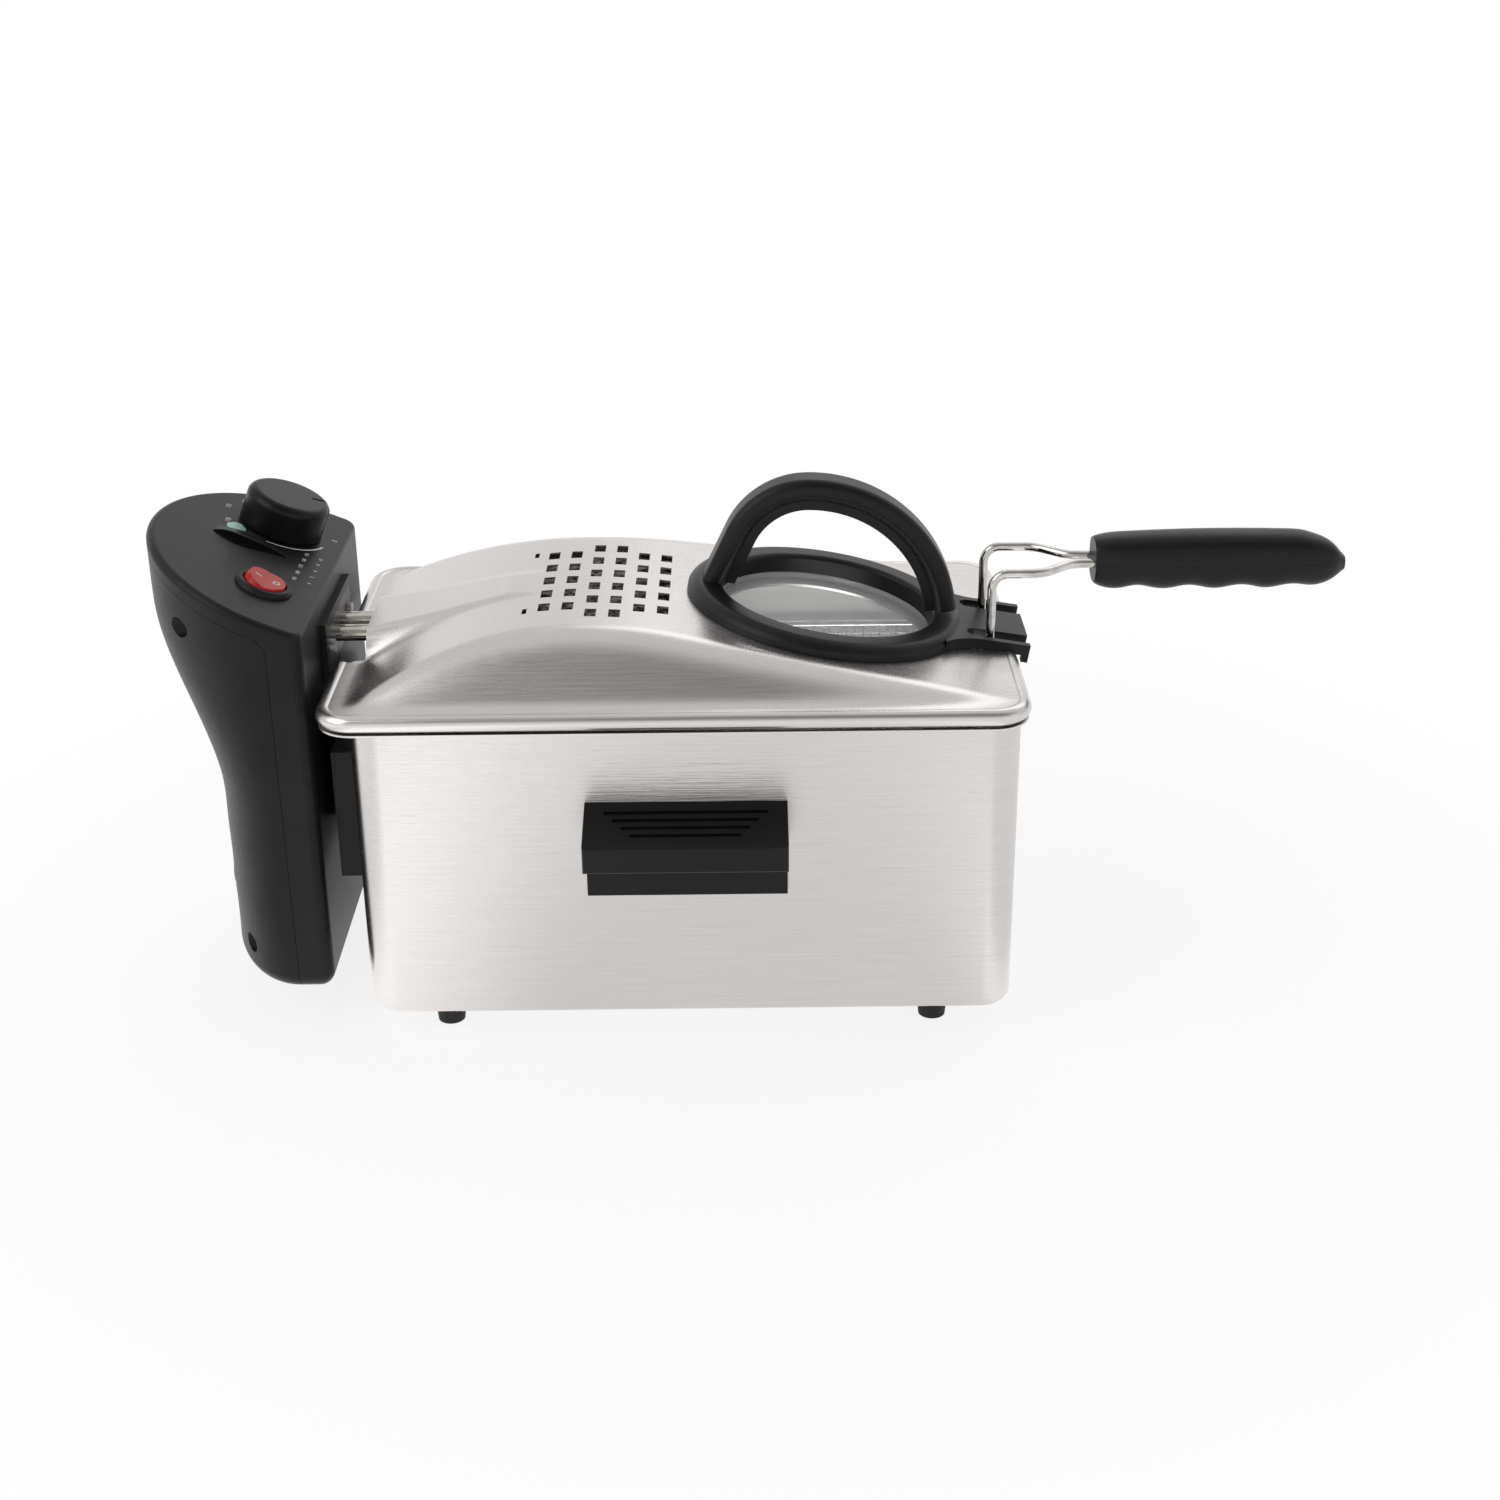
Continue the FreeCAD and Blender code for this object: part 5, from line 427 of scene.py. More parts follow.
# %% Height of the pressed lid
CREST_X, CREST_RISE, LEFT_ARC = -47.0, 26.3, 180.24
RIGHT_ARC, SHOULDER, LID_FALL = 279.6, 45.7, 0.16567
SIDE_FOOT, SIDE_STEEP = 87.0, 1.1955
HOOD_X, HOOD_JOIN, HOOD_RISE, HOOD_FALL = -140.75, -80.0, 11.8, 0.1753
HOOD_HALF, HOOD_STEEP, HOOD_SINK, HOOD_FRONT = 30.0, 1.5, 0.25, 2.0
SIDE_ROUND, CROWN_ROUND, FLANGE_ROUND, HOOD_ROUND = 7.0, 12.0, 2.0, 5.0


def soft_min(first, second, reach):
    """The lower of two heights, less a square that grows as their difference drops below the reach."""
    near = np.clip(1.0 - np.abs(first - second) / reach, 0.0, 1.0)
    return np.minimum(first, second) - near ** 2 * reach / 4.0


def soft_max(first, second, reach):
    """The higher of two heights, with the same rounding turned over."""
    return -soft_min(-first, -second, reach)


def lid_height(x, y):
    """Height over the flange: the soft lower of crown and leaning sides, then the soft higher of that and
    the hood."""
    run = x - CREST_X
    rising = np.sqrt(LEFT_ARC ** 2 - np.minimum(run, 0.0) ** 2) - LEFT_ARC
    bend = np.clip(run, 0.0, SHOULDER)
    falling = np.sqrt(RIGHT_ARC ** 2 - bend ** 2) - RIGHT_ARC - np.maximum(run - SHOULDER, 0.0) * LID_FALL
    crown = CREST_RISE + rising + falling
    side = soft_max((SIDE_FOOT - np.abs(y)) * SIDE_STEEP, 0.0 * y, SIDE_ROUND)
    body = soft_max(soft_min(crown, side, CROWN_ROUND), 0.0 * crown, FLANGE_ROUND)
    line = HOOD_RISE + (x - HOOD_X) * HOOD_FALL
    top = np.where(x < HOOD_JOIN, line, crown - (x - HOOD_JOIN) * HOOD_SINK)
    top = top - HOOD_FRONT * np.maximum(HOOD_X - x, 0.0)
    hood = soft_min(top, (HOOD_HALF - np.abs(y)) * HOOD_STEEP, HOOD_ROUND)
    return soft_max(body, hood, HOOD_ROUND)


print("lid at its crest: %.1f mm over the flange" % lid_height(np.array(CREST_X), np.array(0.0)))

# %% [markdown]
# Steam leaves through six rows of oblong vents on the crown, and two small ones mark the end of the field.
# To cut clean holes, the grid of the lid has a line along every edge of a vent, with even steps of less
# than 2 mm between. A vent is then cut out by leaving its cells away, and so are the window, the mouth of
# the hood and the slot of the tab.

# %% Grid and openings of the lid
LID_LEFT, LID_RIGHT, LID_HALF, LID_CORNER = -154.75, 145.75, 95.0, 17.0
BEAD, LID_STEP = 3.8, 1.8
WINDOW_X, WINDOW_HOLE = 62.0, 53.5
MOUTH_HALF, TAB_X, TAB_HALF = 31.0, 114.29, 26.4
VENT_MIDDLE, VENT_PITCH_X, VENT_PITCH_Y = -35.5, 10.3, 16.6
VENT_HALF_X, VENT_HALF_Y, VENT_ROWS = 2.5, 4.5, (5, 5, 6, 6, 5, 5)
END_VENT_X, END_VENT_Y, END_VENT_HALF = (-70.5, -68.5), (-36.0, 36.0), 3.0


def grid_lines(low, high, stops, step):
    """Places from low to high that include every stop, with even steps between them."""
    stops = np.unique(np.round([low, high, *stops], 4))
    runs = []
    for start, end in zip(stops[:-1], stops[1:]):
        runs.append(np.linspace(start, end, max(1, math.ceil((end - start) / step)), endpoint=False))
    return np.concatenate([*runs, [high]])


vents = []
for vent_x, count in zip(VENT_MIDDLE + VENT_PITCH_X * (np.arange(6) - 2.5), VENT_ROWS):
    for vent_y in VENT_PITCH_Y * (np.arange(count) - (count - 1) / 2):
        vents.append((vent_x - VENT_HALF_X, vent_x + VENT_HALF_X, vent_y - VENT_HALF_Y, vent_y + VENT_HALF_Y))
vents += [(*END_VENT_X, vent_y - END_VENT_HALF, vent_y + END_VENT_HALF) for vent_y in END_VENT_Y]
edges = np.array(vents)
stops_x = [*edges[:, :2].ravel(), HOOD_X, TAB_X]
stops_y = [*edges[:, 2:].ravel(), -MOUTH_HALF, MOUTH_HALF, -TAB_HALF, TAB_HALF]
lid_x = grid_lines(LID_LEFT + BEAD, LID_RIGHT - BEAD, stops_x, LID_STEP)
lid_y = grid_lines(BEAD - LID_HALF, LID_HALF - BEAD, stops_y, LID_STEP)

cell_x = ((lid_x[1:] + lid_x[:-1]) / 2)[:, None]
cell_y = ((lid_y[1:] + lid_y[:-1]) / 2)[None]
turn_x = np.maximum(np.maximum(LID_LEFT + LID_CORNER - cell_x, cell_x - LID_RIGHT + LID_CORNER), 0.0)
turn_y = np.maximum(np.abs(cell_y) - LID_HALF + LID_CORNER, 0.0)
kept = np.hypot(turn_x, turn_y) < LID_CORNER - BEAD
kept &= np.hypot((cell_x - WINDOW_X) * math.hypot(1.0, LID_FALL), cell_y) > WINDOW_HOLE
kept &= ~((cell_x < HOOD_X) & (np.abs(cell_y) < MOUTH_HALF))
kept &= ~((cell_x > TAB_X) & (np.abs(cell_y) < TAB_HALF))
for x0, x1, y0, y1 in vents:
    kept &= ~((cell_x > x0) & (cell_x < x1) & (cell_y > y0) & (cell_y < y1))
print("vents:", len(vents), "cells of the lid:", kept.sum())

# %% [markdown]
# A sheet has a thickness. Its underside is the same grid, moved inwards by the gauge of the sheet along the
# surface's own direction, which follows from the slopes. An edge that only one kept cell has is a rim:
# there a narrow wall joins the top to the underside, so the sheet is closed all round.

# %% Sheet of the lid
FLANGE_Z, SHEET = 157.2, 0.8

lid_xx, lid_yy = np.meshgrid(lid_x, lid_y, indexing="ij")
lid_zz = lid_height(lid_xx, lid_yy)
slope_x, slope_y = np.gradient(lid_zz, lid_x, lid_y)
lid_out = np.stack([-slope_x, -slope_y, np.ones_like(lid_zz)], -1)
lid_out /= np.linalg.norm(lid_out, axis=-1, keepdims=True)
sheet_top = np.stack([lid_xx, lid_yy, FLANGE_Z + lid_zz], -1).reshape(-1, 3)
sheet_under = sheet_top - SHEET * lid_out.reshape(-1, 3)
top_faces = grid_quads(*lid_zz.shape)[kept.ravel()][:, ::-1]
count = len(sheet_top)
starts, ends = top_faces.ravel(), np.roll(top_faces, -1, 1).ravel()
rim = ~np.isin(starts * count + ends, ends * count + starts)
walls = np.stack([ends[rim], starts[rim], starts[rim] + count, ends[rim] + count], 1)
sheet_faces = np.concatenate([top_faces, top_faces[:, ::-1] + count, walls])
used, sheet_faces = np.unique(sheet_faces, return_inverse=True)
lid_points = np.concatenate([sheet_top, sheet_under])[used]
lid_faces = sheet_faces.reshape(-1, 4)
print("sheet of the lid: %d faces, %d of them along its rims" % (len(lid_faces), len(walls)))

# %% [markdown]
# The edge of the sheet is rolled under, which makes it stiff and safe to hold. The roll is a circle carried
# along the outline, with a quarter turn at each corner. The hood's mouth and the tab's slot interrupt it,
# so it is made in two halves, front and back, each closed by a flat cap at both ends.

# %% Rolled edge of the lid
BEAD_Z, BEAD_SIDES, CORNER_STEPS = 153.9, 16, 13


def rolled_edge(way):
    """Half of the rolled edge, front or back: a circle carried from the hood's mouth round two corners to
    the tab."""
    left, right, half = LID_LEFT + LID_CORNER, LID_RIGHT - LID_CORNER, LID_HALF - LID_CORNER
    turn = np.linspace(0, math.pi / 2, CORNER_STEPS)
    near_spot, far_spot = (np.repeat([(x, half)], CORNER_STEPS, 0) for x in (left, right))
    spots = np.concatenate([[(left, MOUTH_HALF)], near_spot, far_spot, [(right, TAB_HALF)]])
    near = np.stack([-np.cos(turn), np.sin(turn)], 1)
    away = np.stack([np.sin(turn), np.cos(turn)], 1)
    outs = np.concatenate([[(-1.0, 0.0)], near, away, [(1.0, 0.0)]])
    round_it = np.linspace(0, 2 * math.pi, BEAD_SIDES + 1)[:-1]
    reach = LID_CORNER - BEAD + BEAD * np.cos(round_it)
    flat = spots[:, None] + outs[:, None] * reach[None, :, None]
    height = np.broadcast_to(BEAD_Z + BEAD * np.sin(round_it), flat.shape[:2])
    points = np.stack([flat[..., 0], way * flat[..., 1], height], -1).reshape(-1, 3)
    first = np.arange(BEAD_SIDES // 2 - 1)
    cap = np.stack([first, first + 1, BEAD_SIDES - 2 - first, BEAD_SIDES - 1 - first], 1)
    tube = grid_quads(len(spots), BEAD_SIDES, wrap_columns=True)
    faces = np.concatenate([tube, cap[:, ::-1], cap + BEAD_SIDES * (len(spots) - 1)])
    return points, faces if signed_volume(points - points.mean(0), faces) > 0 else faces[:, ::-1]


for way in (-1.0, 1.0):
    edge_points, edge_faces = rolled_edge(way)
    lid_faces = np.concatenate([lid_faces, edge_faces + len(lid_points)])
    lid_points = np.concatenate([lid_points, edge_points])
pressed_lid = make_piece("pressed_lid", lid_points, lid_faces, lid_steel, "lid", closed=False)
keep_creases(pressed_lid)
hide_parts("lid_shell")

# %% [markdown]
# The basket is woven from thin wire. Each wire waves over one neighbour and under the next, like cloth.
# Three families make the tub: rings round the wall, slings that run down one side, under and up the other,
# and slings from end to end. A wave is a cosine along the wire whose sign changes from wire to wire, so
# where two families cross, one is out and the other is in. A square section is enough for a wire this thin.
# The real mesh is about 2 mm; it is drawn at 4 mm so that the weave can be seen.

# %% Wires of the basket
BASKET_MIDDLE = 7.0
WALL_X, WALL_Y = 112.2, 65.2
WEAVE_TOP, WEAVE_FLOOR = 134.0, 43.6
PITCH, WIRE, WAVE = 4.0, 0.36, 0.40
CORNER, FOOT_BEND = 11.0, 6.0


def wires(paths, outs, closed=False):
    """Square wires: each path carries four points a wire radius away, along its out direction and square
    to it."""
    if closed:
        ahead = np.roll(paths, -1, 1) - np.roll(paths, 1, 1)
    else:
        ahead = np.gradient(paths, axis=1)
    ahead /= np.linalg.norm(ahead, axis=-1, keepdims=True)
    outs = outs - (outs * ahead).sum(-1, keepdims=True) * ahead
    outs /= np.linalg.norm(outs, axis=-1, keepdims=True)
    sides = np.cross(ahead, outs)
    points = paths[:, :, None, :] + np.stack([outs, sides, -outs, -sides], 2) * WIRE
    count, length = paths.shape[:2]
    one = grid_quads(length, 4, closed, True)
    if not closed:
        ends = np.array([[0, 1, 2, 3], [3, 2, 1, 0]]) + np.array([[0], [4 * (length - 1)]])
        one = np.concatenate([one, ends])
    faces = one[None] + 4 * length * np.arange(count)[:, None, None]
    return points.reshape(-1, 3), faces.reshape(-1, 4)


print("basket: %.0f x %.0f mm, mesh %.0f mm" % (2 * WALL_X, 2 * WALL_Y, PITCH))

# %% [markdown]
# A sling is a U: two straight walls, two quarter circles at the foot and a straight floor. Half of it is
# worked out, and the other half is its mirror image. One formula serves both directions, front to back and
# end to end.

# %% Slings of the basket
ACROSS_COUNT, ALONG_COUNT = 25, 13


def sling_line(half):
    """A U in its own plane: down a wall, round a quarter circle, along the floor and up again, with its
    outward way."""
    wall = np.arange(WEAVE_TOP, WEAVE_FLOOR + FOOT_BEND, -PITCH / 2)
    turn = np.linspace(0, math.pi / 2, 7)
    bend_x = half - FOOT_BEND + FOOT_BEND * np.cos(turn)
    bend_z = WEAVE_FLOOR + FOOT_BEND - FOOT_BEND * np.sin(turn)
    floor = np.arange(half - FOOT_BEND - PITCH / 2, PITCH / 4, -PITCH / 2)
    down_x = np.concatenate([np.full_like(wall, half), bend_x, floor])
    down_z = np.concatenate([wall, bend_z, np.full_like(floor, WEAVE_FLOOR)])
    out_x = np.concatenate([np.ones_like(wall), np.cos(turn), np.zeros_like(floor)])
    out_z = np.concatenate([np.zeros_like(wall), -np.sin(turn), -np.ones_like(floor)])
    down, out = np.stack([down_x, down_z], 1), np.stack([out_x, out_z], 1)
    flip = np.array([-1.0, 1.0])
    line = np.concatenate([down, [[0.0, WEAVE_FLOOR]], (down * flip)[::-1]])
    return line, np.concatenate([out, [[0.0, -1.0]], (out * flip)[::-1]])


def slings(half, places, across):
    """One sling at each place; across is true where the slings run from front to back."""
    line, out = sling_line(half)
    wave_way = np.where(np.abs(out[:, :1]) > 0.5, line[:, 1:], line[:, :1])
    number = np.arange(len(places))
    sign = 1.0 if across else -1.0
    wave = sign * WAVE * np.cos(math.pi * (wave_way.T / PITCH + number[:, None]))
    flat = line[None] + out[None] * wave[..., None]
    outs = np.repeat(out[None], len(places), 0)
    spot = np.repeat(np.asarray(places)[:, None], len(line), 1)
    if across:
        paths = np.stack([spot, flat[..., 0], flat[..., 1]], -1)
        return paths, np.stack([np.zeros_like(spot), outs[..., 0], outs[..., 1]], -1)
    paths = np.stack([BASKET_MIDDLE + flat[..., 0], spot, flat[..., 1]], -1)
    return paths, np.stack([outs[..., 0], np.zeros_like(spot), outs[..., 1]], -1)


cross_x = BASKET_MIDDLE + np.arange(-ACROSS_COUNT, ACROSS_COUNT + 1) * PITCH
along_y = np.arange(-ALONG_COUNT, ALONG_COUNT + 1) * PITCH
across_points, across_faces = wires(*slings(WALL_Y, cross_x, True))
along_points, along_faces = wires(*slings(WALL_X, along_y, False))
sling_points = np.concatenate([across_points, along_points])
sling_faces = np.concatenate([across_faces, along_faces + len(across_points)])
weave_slings = make_piece("basket_weave_slings", sling_points, sling_faces, chrome, "basket")
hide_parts("basket_floor_mesh", "basket_left_mesh", "basket_right_mesh")

# %% [markdown]
# A ring is a rectangle with round corners. It waves along its straight runs and lies still in the corners,
# where no sling crosses it; three plain posts in each corner hold the rings there.

# %% Rings and corner posts of the basket
POST_INSET, POST_POINTS = 0.75, 8
POST_TURN = np.radians([18.0, 45.0, 72.0])


def ring_line():
    """A rectangle with quarter-circle corners, as points, outward ways and a fade that stops the wave in
    corners."""
    run_x = np.arange(CORNER - WALL_X, WALL_X - CORNER + 0.1, PITCH / 2)
    run_y = np.arange(CORNER - WALL_Y, WALL_Y - CORNER + 0.1, PITCH / 2)
    turn = np.linspace(0, math.pi / 2, 8)[1:-1]
    near = np.stack([np.sin(turn), -np.cos(turn)], 1)
    away = np.stack([np.cos(turn), np.sin(turn)], 1)
    spot = np.array([WALL_X - CORNER, CORNER - WALL_Y])
    front = np.stack([run_x, np.full_like(run_x, -WALL_Y)], 1)
    side = np.stack([np.full_like(run_y, WALL_X), run_y], 1)
    half_line = np.concatenate([front, spot + CORNER * near, side, spot * (1, -1) + CORNER * away])
    front_out, side_out = np.tile([0.0, -1.0], (len(front), 1)), np.tile([1.0, 0.0], (len(side), 1))
    half_out = np.concatenate([front_out, near, side_out, away])
    still = np.zeros(len(turn))
    fade = np.concatenate([np.ones(len(front)), still, np.ones(len(side)), still])
    return np.concatenate([half_line, -half_line]), np.concatenate([half_out, -half_out]), np.tile(fade, 2)


def level(ways):
    """Flat directions as directions in the room, with no part upwards."""
    return np.concatenate([ways, np.zeros((len(ways), 1))], 1)


ring_flat, ring_out, ring_fade = ring_line()
heights = np.arange(WEAVE_FLOOR + FOOT_BEND + 1.0, WEAVE_TOP - 2.0, PITCH)
ring_way = np.where(np.abs(ring_out[:, 1]) > 0.5, ring_flat[:, 0], ring_flat[:, 1])
ring_turn = ring_way[None] / PITCH + np.arange(len(heights))[:, None]
ring_wave = -WAVE * ring_fade * np.cos(math.pi * ring_turn)
ring_at = ring_flat[None] + ring_out[None] * ring_wave[..., None] + (BASKET_MIDDLE, 0.0)
ring_paths = np.concatenate([ring_at, np.repeat(heights[:, None, None], len(ring_flat), 1)], -1)
ring_points, ring_faces = wires(ring_paths, np.repeat(level(ring_out)[None], len(heights), 0), closed=True)

corner_ways = [(sx * np.cos(POST_TURN), sy * np.sin(POST_TURN)) for sx in (-1, 1) for sy in (-1, 1)]
post_out = np.concatenate([np.stack(ways, 1) for ways in corner_ways])
post_spot = np.sign(post_out) * (WALL_X - CORNER, WALL_Y - CORNER) + post_out * (CORNER - POST_INSET)
post_spot = post_spot + (BASKET_MIDDLE, 0.0)
post_z = np.linspace(WEAVE_TOP, WEAVE_FLOOR + FOOT_BEND - 1.0, POST_POINTS)
post_rise = np.repeat(post_z[None, :, None], len(post_out), 0)
post_paths = np.concatenate([np.repeat(post_spot[:, None], POST_POINTS, 1), post_rise], -1)
post_points, post_faces = wires(post_paths, np.repeat(level(post_out)[:, None], POST_POINTS, 1))
wall_points = np.concatenate([ring_points, post_points])
wall_faces = np.concatenate([ring_faces, post_faces + len(ring_points)])
weave_rings = make_piece("basket_weave_rings", wall_points, wall_faces, chrome, "basket")
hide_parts("basket_front_mesh", "basket_back_mesh")

# %% [markdown]
# A low brow is moulded into the deck in front of the ready light. It rises gently from the back, ends in a
# steep hollow front, and runs out to a point. It is a strip across a curved line: along the line its height
# swells and fades, and across it the height follows a long soft rise and a short hollow fall. The hollow
# front is in shade on the real piece, and that shade is painted on as a matt black of its own.

# %% Brow of the ready light
BROW_U = np.array([55.0, 50.0, 44.0, 38.0, 32.0, 26.0, 19.0])
BROW_V = np.array([5.0, 4.0, 2.2, 1.6, 2.6, 3.0, 2.6])
BROW_BACK = np.array([7.0, 11.0, 16.0, 15.0, 11.0, 6.5, 0.3])
BROW_FRONT = np.array([1.5, 4.0, 4.8, 4.4, 3.5, 2.2, 0.3])
BROW_HEIGHT = np.array([0.0, 2.2, 3.2, 3.0, 2.4, 1.4, 0.0])
BROW_SOFT, BROW_LIFT, BROW_SINK = 0.07, 0.02, -0.3
FRONT_POWER, BACK_POWER = 2.6, 1.5
FRONT_STEPS, BACK_STEPS, LINE_STEPS = 12, 16, 48


def along_brow(values, share):
    """A smooth curve through the values: the mean of the straight joins a little before and after each
    share."""
    knots = np.linspace(0, 1, len(values))
    offsets = np.linspace(-BROW_SOFT, BROW_SOFT, 9)
    return np.mean([np.interp(np.clip(share + step, 0, 1), knots, values) for step in offsets], 0)


share = np.linspace(0, 1, LINE_STEPS + 1)
across = np.concatenate([np.linspace(-1, 0, FRONT_STEPS + 1), np.linspace(0, 1, BACK_STEPS + 1)[1:]])
back_rise = np.cos(np.clip(across, 0, 1) * math.pi / 2) ** BACK_POWER
rise = np.where(across < 0, (1 + across) ** FRONT_POWER, back_rise)
front_reach, back_reach = (along_brow(reach, share)[:, None] for reach in (BROW_FRONT, BROW_BACK))
brow_v = along_brow(BROW_V, share)[:, None] + across[None] * np.where(across[None] < 0, front_reach, back_reach)
brow_u = np.repeat(along_brow(BROW_U, share)[:, None], len(across), 1)
brow_w = along_brow(BROW_HEIGHT, share)[:, None] * rise[None] + BROW_LIFT
brow_under = on_deck(brow_u, brow_v, BROW_SINK)
brow_points = np.concatenate([on_deck(brow_u, brow_v, brow_w), brow_under[:, ::-1]], 1)
columns = brow_points.shape[1]
skin = grid_quads(*brow_points.shape[:2], wrap_columns=True)
first = np.arange(len(across) - 1)
cap = np.stack([first, first + 1, columns - 2 - first, columns - 1 - first], 1)
brow_faces = np.concatenate([skin, cap[:, ::-1], cap + columns * LINE_STEPS])
brow = make_piece("ready_light_brow", brow_points, brow_faces, cover_abs, "control_unit")
brow.data.materials.append(painted_shade_black)
# The faces of the hollow front get the painted shade.
in_painted_shade = np.zeros(len(brow.data.polygons), int)
in_painted_shade[:len(skin)] = np.tile(np.arange(columns) < FRONT_STEPS, LINE_STEPS)
brow.data.polygons.foreach_set("material_index", in_painted_shade)

# %% [markdown]
# The deck carries a plain scale. It is a skin of ink a twentieth of a millimetre above the deck. The arc in
# front of the knob is a ribbon whose width grows along it: one parameter runs along the arc and the other
# across it.

# %% Arc of the scale
INK = 0.05
KNOB_U, KNOB_V = 29.5, 35.0
ARC_RADIUS, ARC_START, ARC_END, ARC_THIN, ARC_THICK, ARC_POINTS = 22.0, -58.0, -164.0, 0.35, 1.0, 48
DECK_UP = (math.sin(DECK_TILT), 0.0, math.cos(DECK_TILT))


def facing(points, faces, way):
    """Turns flat faces so that they look along a way."""
    corner = points[faces]
    normal = np.cross(corner[:, 1] - corner[:, 0], corner[:, 2] - corner[:, 0])
    return np.where((normal @ np.asarray(way) < 0)[:, None], faces[:, ::-1], faces)


def print_piece(name, points, faces, body, slot):
    """Makes a flat print that looks out of the deck."""
    points = points.reshape(-1, 3)
    make_piece(name, points, facing(points, faces, DECK_UP), white_print, body, False, False)


arc_angle = np.radians(np.linspace(ARC_START, ARC_END, ARC_POINTS))[:, None]
arc_width = np.linspace(ARC_THIN, ARC_THICK, ARC_POINTS)[:, None] * np.array([[-0.5, 0.5]])
arc_reach = ARC_RADIUS + arc_width
arc_points = on_deck(KNOB_U + arc_reach * np.cos(arc_angle), KNOB_V + arc_reach * np.sin(arc_angle), INK)
print_piece("scale_arc", arc_points, grid_quads(ARC_POINTS, 2), "control_unit", "black_plastic")

# %% [markdown]
# Round the knob stand the temperatures, and beside it a small table of temperatures and minutes.
# Numbers come from the built-in letter shapes: each becomes a flat mesh, and its points are then laid
# on the deck, so that its object stays at the origin.

# %% Numbers of the scale
LETTER_SHARE = 1.4
DIAL_REACH = 25.5
DIAL = [("190", 2.4, -30.0), ("170", 2.4, 8.0), ("150", 2.4, 38.0), ("130", 2.4, 66.0), ("0", 2.8, 165.0)]
TABLE_V, TABLE_SIZE = (-17, -9, -1, 7, 14), 1.8
TABLE = {13.2: ("190", "180", "170", "160", "150"), 6.6: ("4", "5", "6", "8", "10")}


def lettering(text, size):
    """The flat outline of a number, size millimetres high, as corner points about its middle and
    triangles."""
    curve = bpy.data.curves.new("number", "FONT")
    curve.body = text
    curve.size = size * LETTER_SHARE
    curve.resolution_u = 3
    maker = bpy.data.objects.new("number", curve)
    scene.collection.objects.link(maker)
    bpy.context.view_layer.update()
    mesh = bpy.data.meshes.new_from_object(maker)
    mesh.calc_loop_triangles()
    flat = np.zeros(len(mesh.vertices) * 3)
    mesh.vertices.foreach_get("co", flat)
    flat = flat.reshape(-1, 3)[:, :2]
    faces = np.zeros(len(mesh.loop_triangles) * 3, int)
    mesh.loop_triangles.foreach_get("vertices", faces)
    bpy.data.objects.remove(maker)
    bpy.data.curves.remove(curve)
    bpy.data.meshes.remove(mesh)
    return flat - (flat.min(0) + flat.max(0)) / 2, faces.reshape(-1, 3)


def printed(marks):
    """Lays flat marks on the deck, reading to the back: the letters' right is +v and their top is +u."""
    points, faces, count = [], [], 0
    for text, size, u, v in marks:
        flat, triangles = lettering(text, size)
        points.append(on_deck(u + flat[:, 1], v + flat[:, 0], INK))
        faces.append(triangles + count)
        count += len(flat)
    return np.concatenate(points), np.concatenate(faces)


marks = []
for text, size, angle in DIAL:
    turn = math.radians(angle)
    marks.append((text, size, KNOB_U + DIAL_REACH * math.cos(turn), KNOB_V + DIAL_REACH * math.sin(turn)))
for u, row in TABLE.items():
    marks += [(text, TABLE_SIZE, u, v) for text, v in zip(row, TABLE_V)]
print_piece("scale_numbers", *printed(marks), "control_unit", "black_plastic")

# %% [markdown]
# The rocker carries the usual I and O. They are printed on its two faces, which lean towards the valley in
# the middle. The marks are worked out in the rocker's own turned frame, and they ride on the rocker.

# %% Marks on the rocker
ROCKER_MIDDLE = on_deck(23.2, -37.0, 0.0)
ROCKER_TILT = math.radians(31.0)
ROCKER_LEAN = math.radians(9.0)
ROCKER_CROWN = 3.4
BAR_START, BAR_END, BAR_HALF, BAR_POINTS = -5.6, -2.6, 0.28, 5
RING_MIDDLE, RING_INNER, RING_OUTER, RING_POINTS = 4.2, 1.05, 1.6, 32


def on_rocker(a, b):
    """A point on the rocker: a runs down the slope from the valley, b to the back; both faces rise from
    the valley."""
    height = ROCKER_CROWN + np.abs(a) * math.tan(ROCKER_LEAN) + INK
    x = a * math.cos(ROCKER_TILT) + height * math.sin(ROCKER_TILT)
    z = height * math.cos(ROCKER_TILT) - a * math.sin(ROCKER_TILT)
    return ROCKER_MIDDLE + np.stack([x, b, z], -1)


bar_a, bar_b = np.meshgrid(np.linspace(BAR_START, BAR_END, BAR_POINTS), [-BAR_HALF, BAR_HALF], indexing="ij")
bar_points = on_rocker(bar_a, bar_b).reshape(-1, 3)
ring_angle = np.linspace(0, 2 * math.pi, RING_POINTS + 1)[:-1, None]
ring_reach = np.array([[RING_INNER, RING_OUTER]])
zero_a = RING_MIDDLE + ring_reach * np.cos(ring_angle)
zero_points = on_rocker(zero_a, ring_reach * np.sin(ring_angle)).reshape(-1, 3)
zero_faces = grid_quads(RING_POINTS, 2, wrap_rows=True) + len(bar_points)
mark_points = np.concatenate([bar_points, zero_points])
mark_faces = np.concatenate([grid_quads(BAR_POINTS, 2), zero_faces])
print_piece("rocker_marks", mark_points, mark_faces, "rocker", "red_plastic")
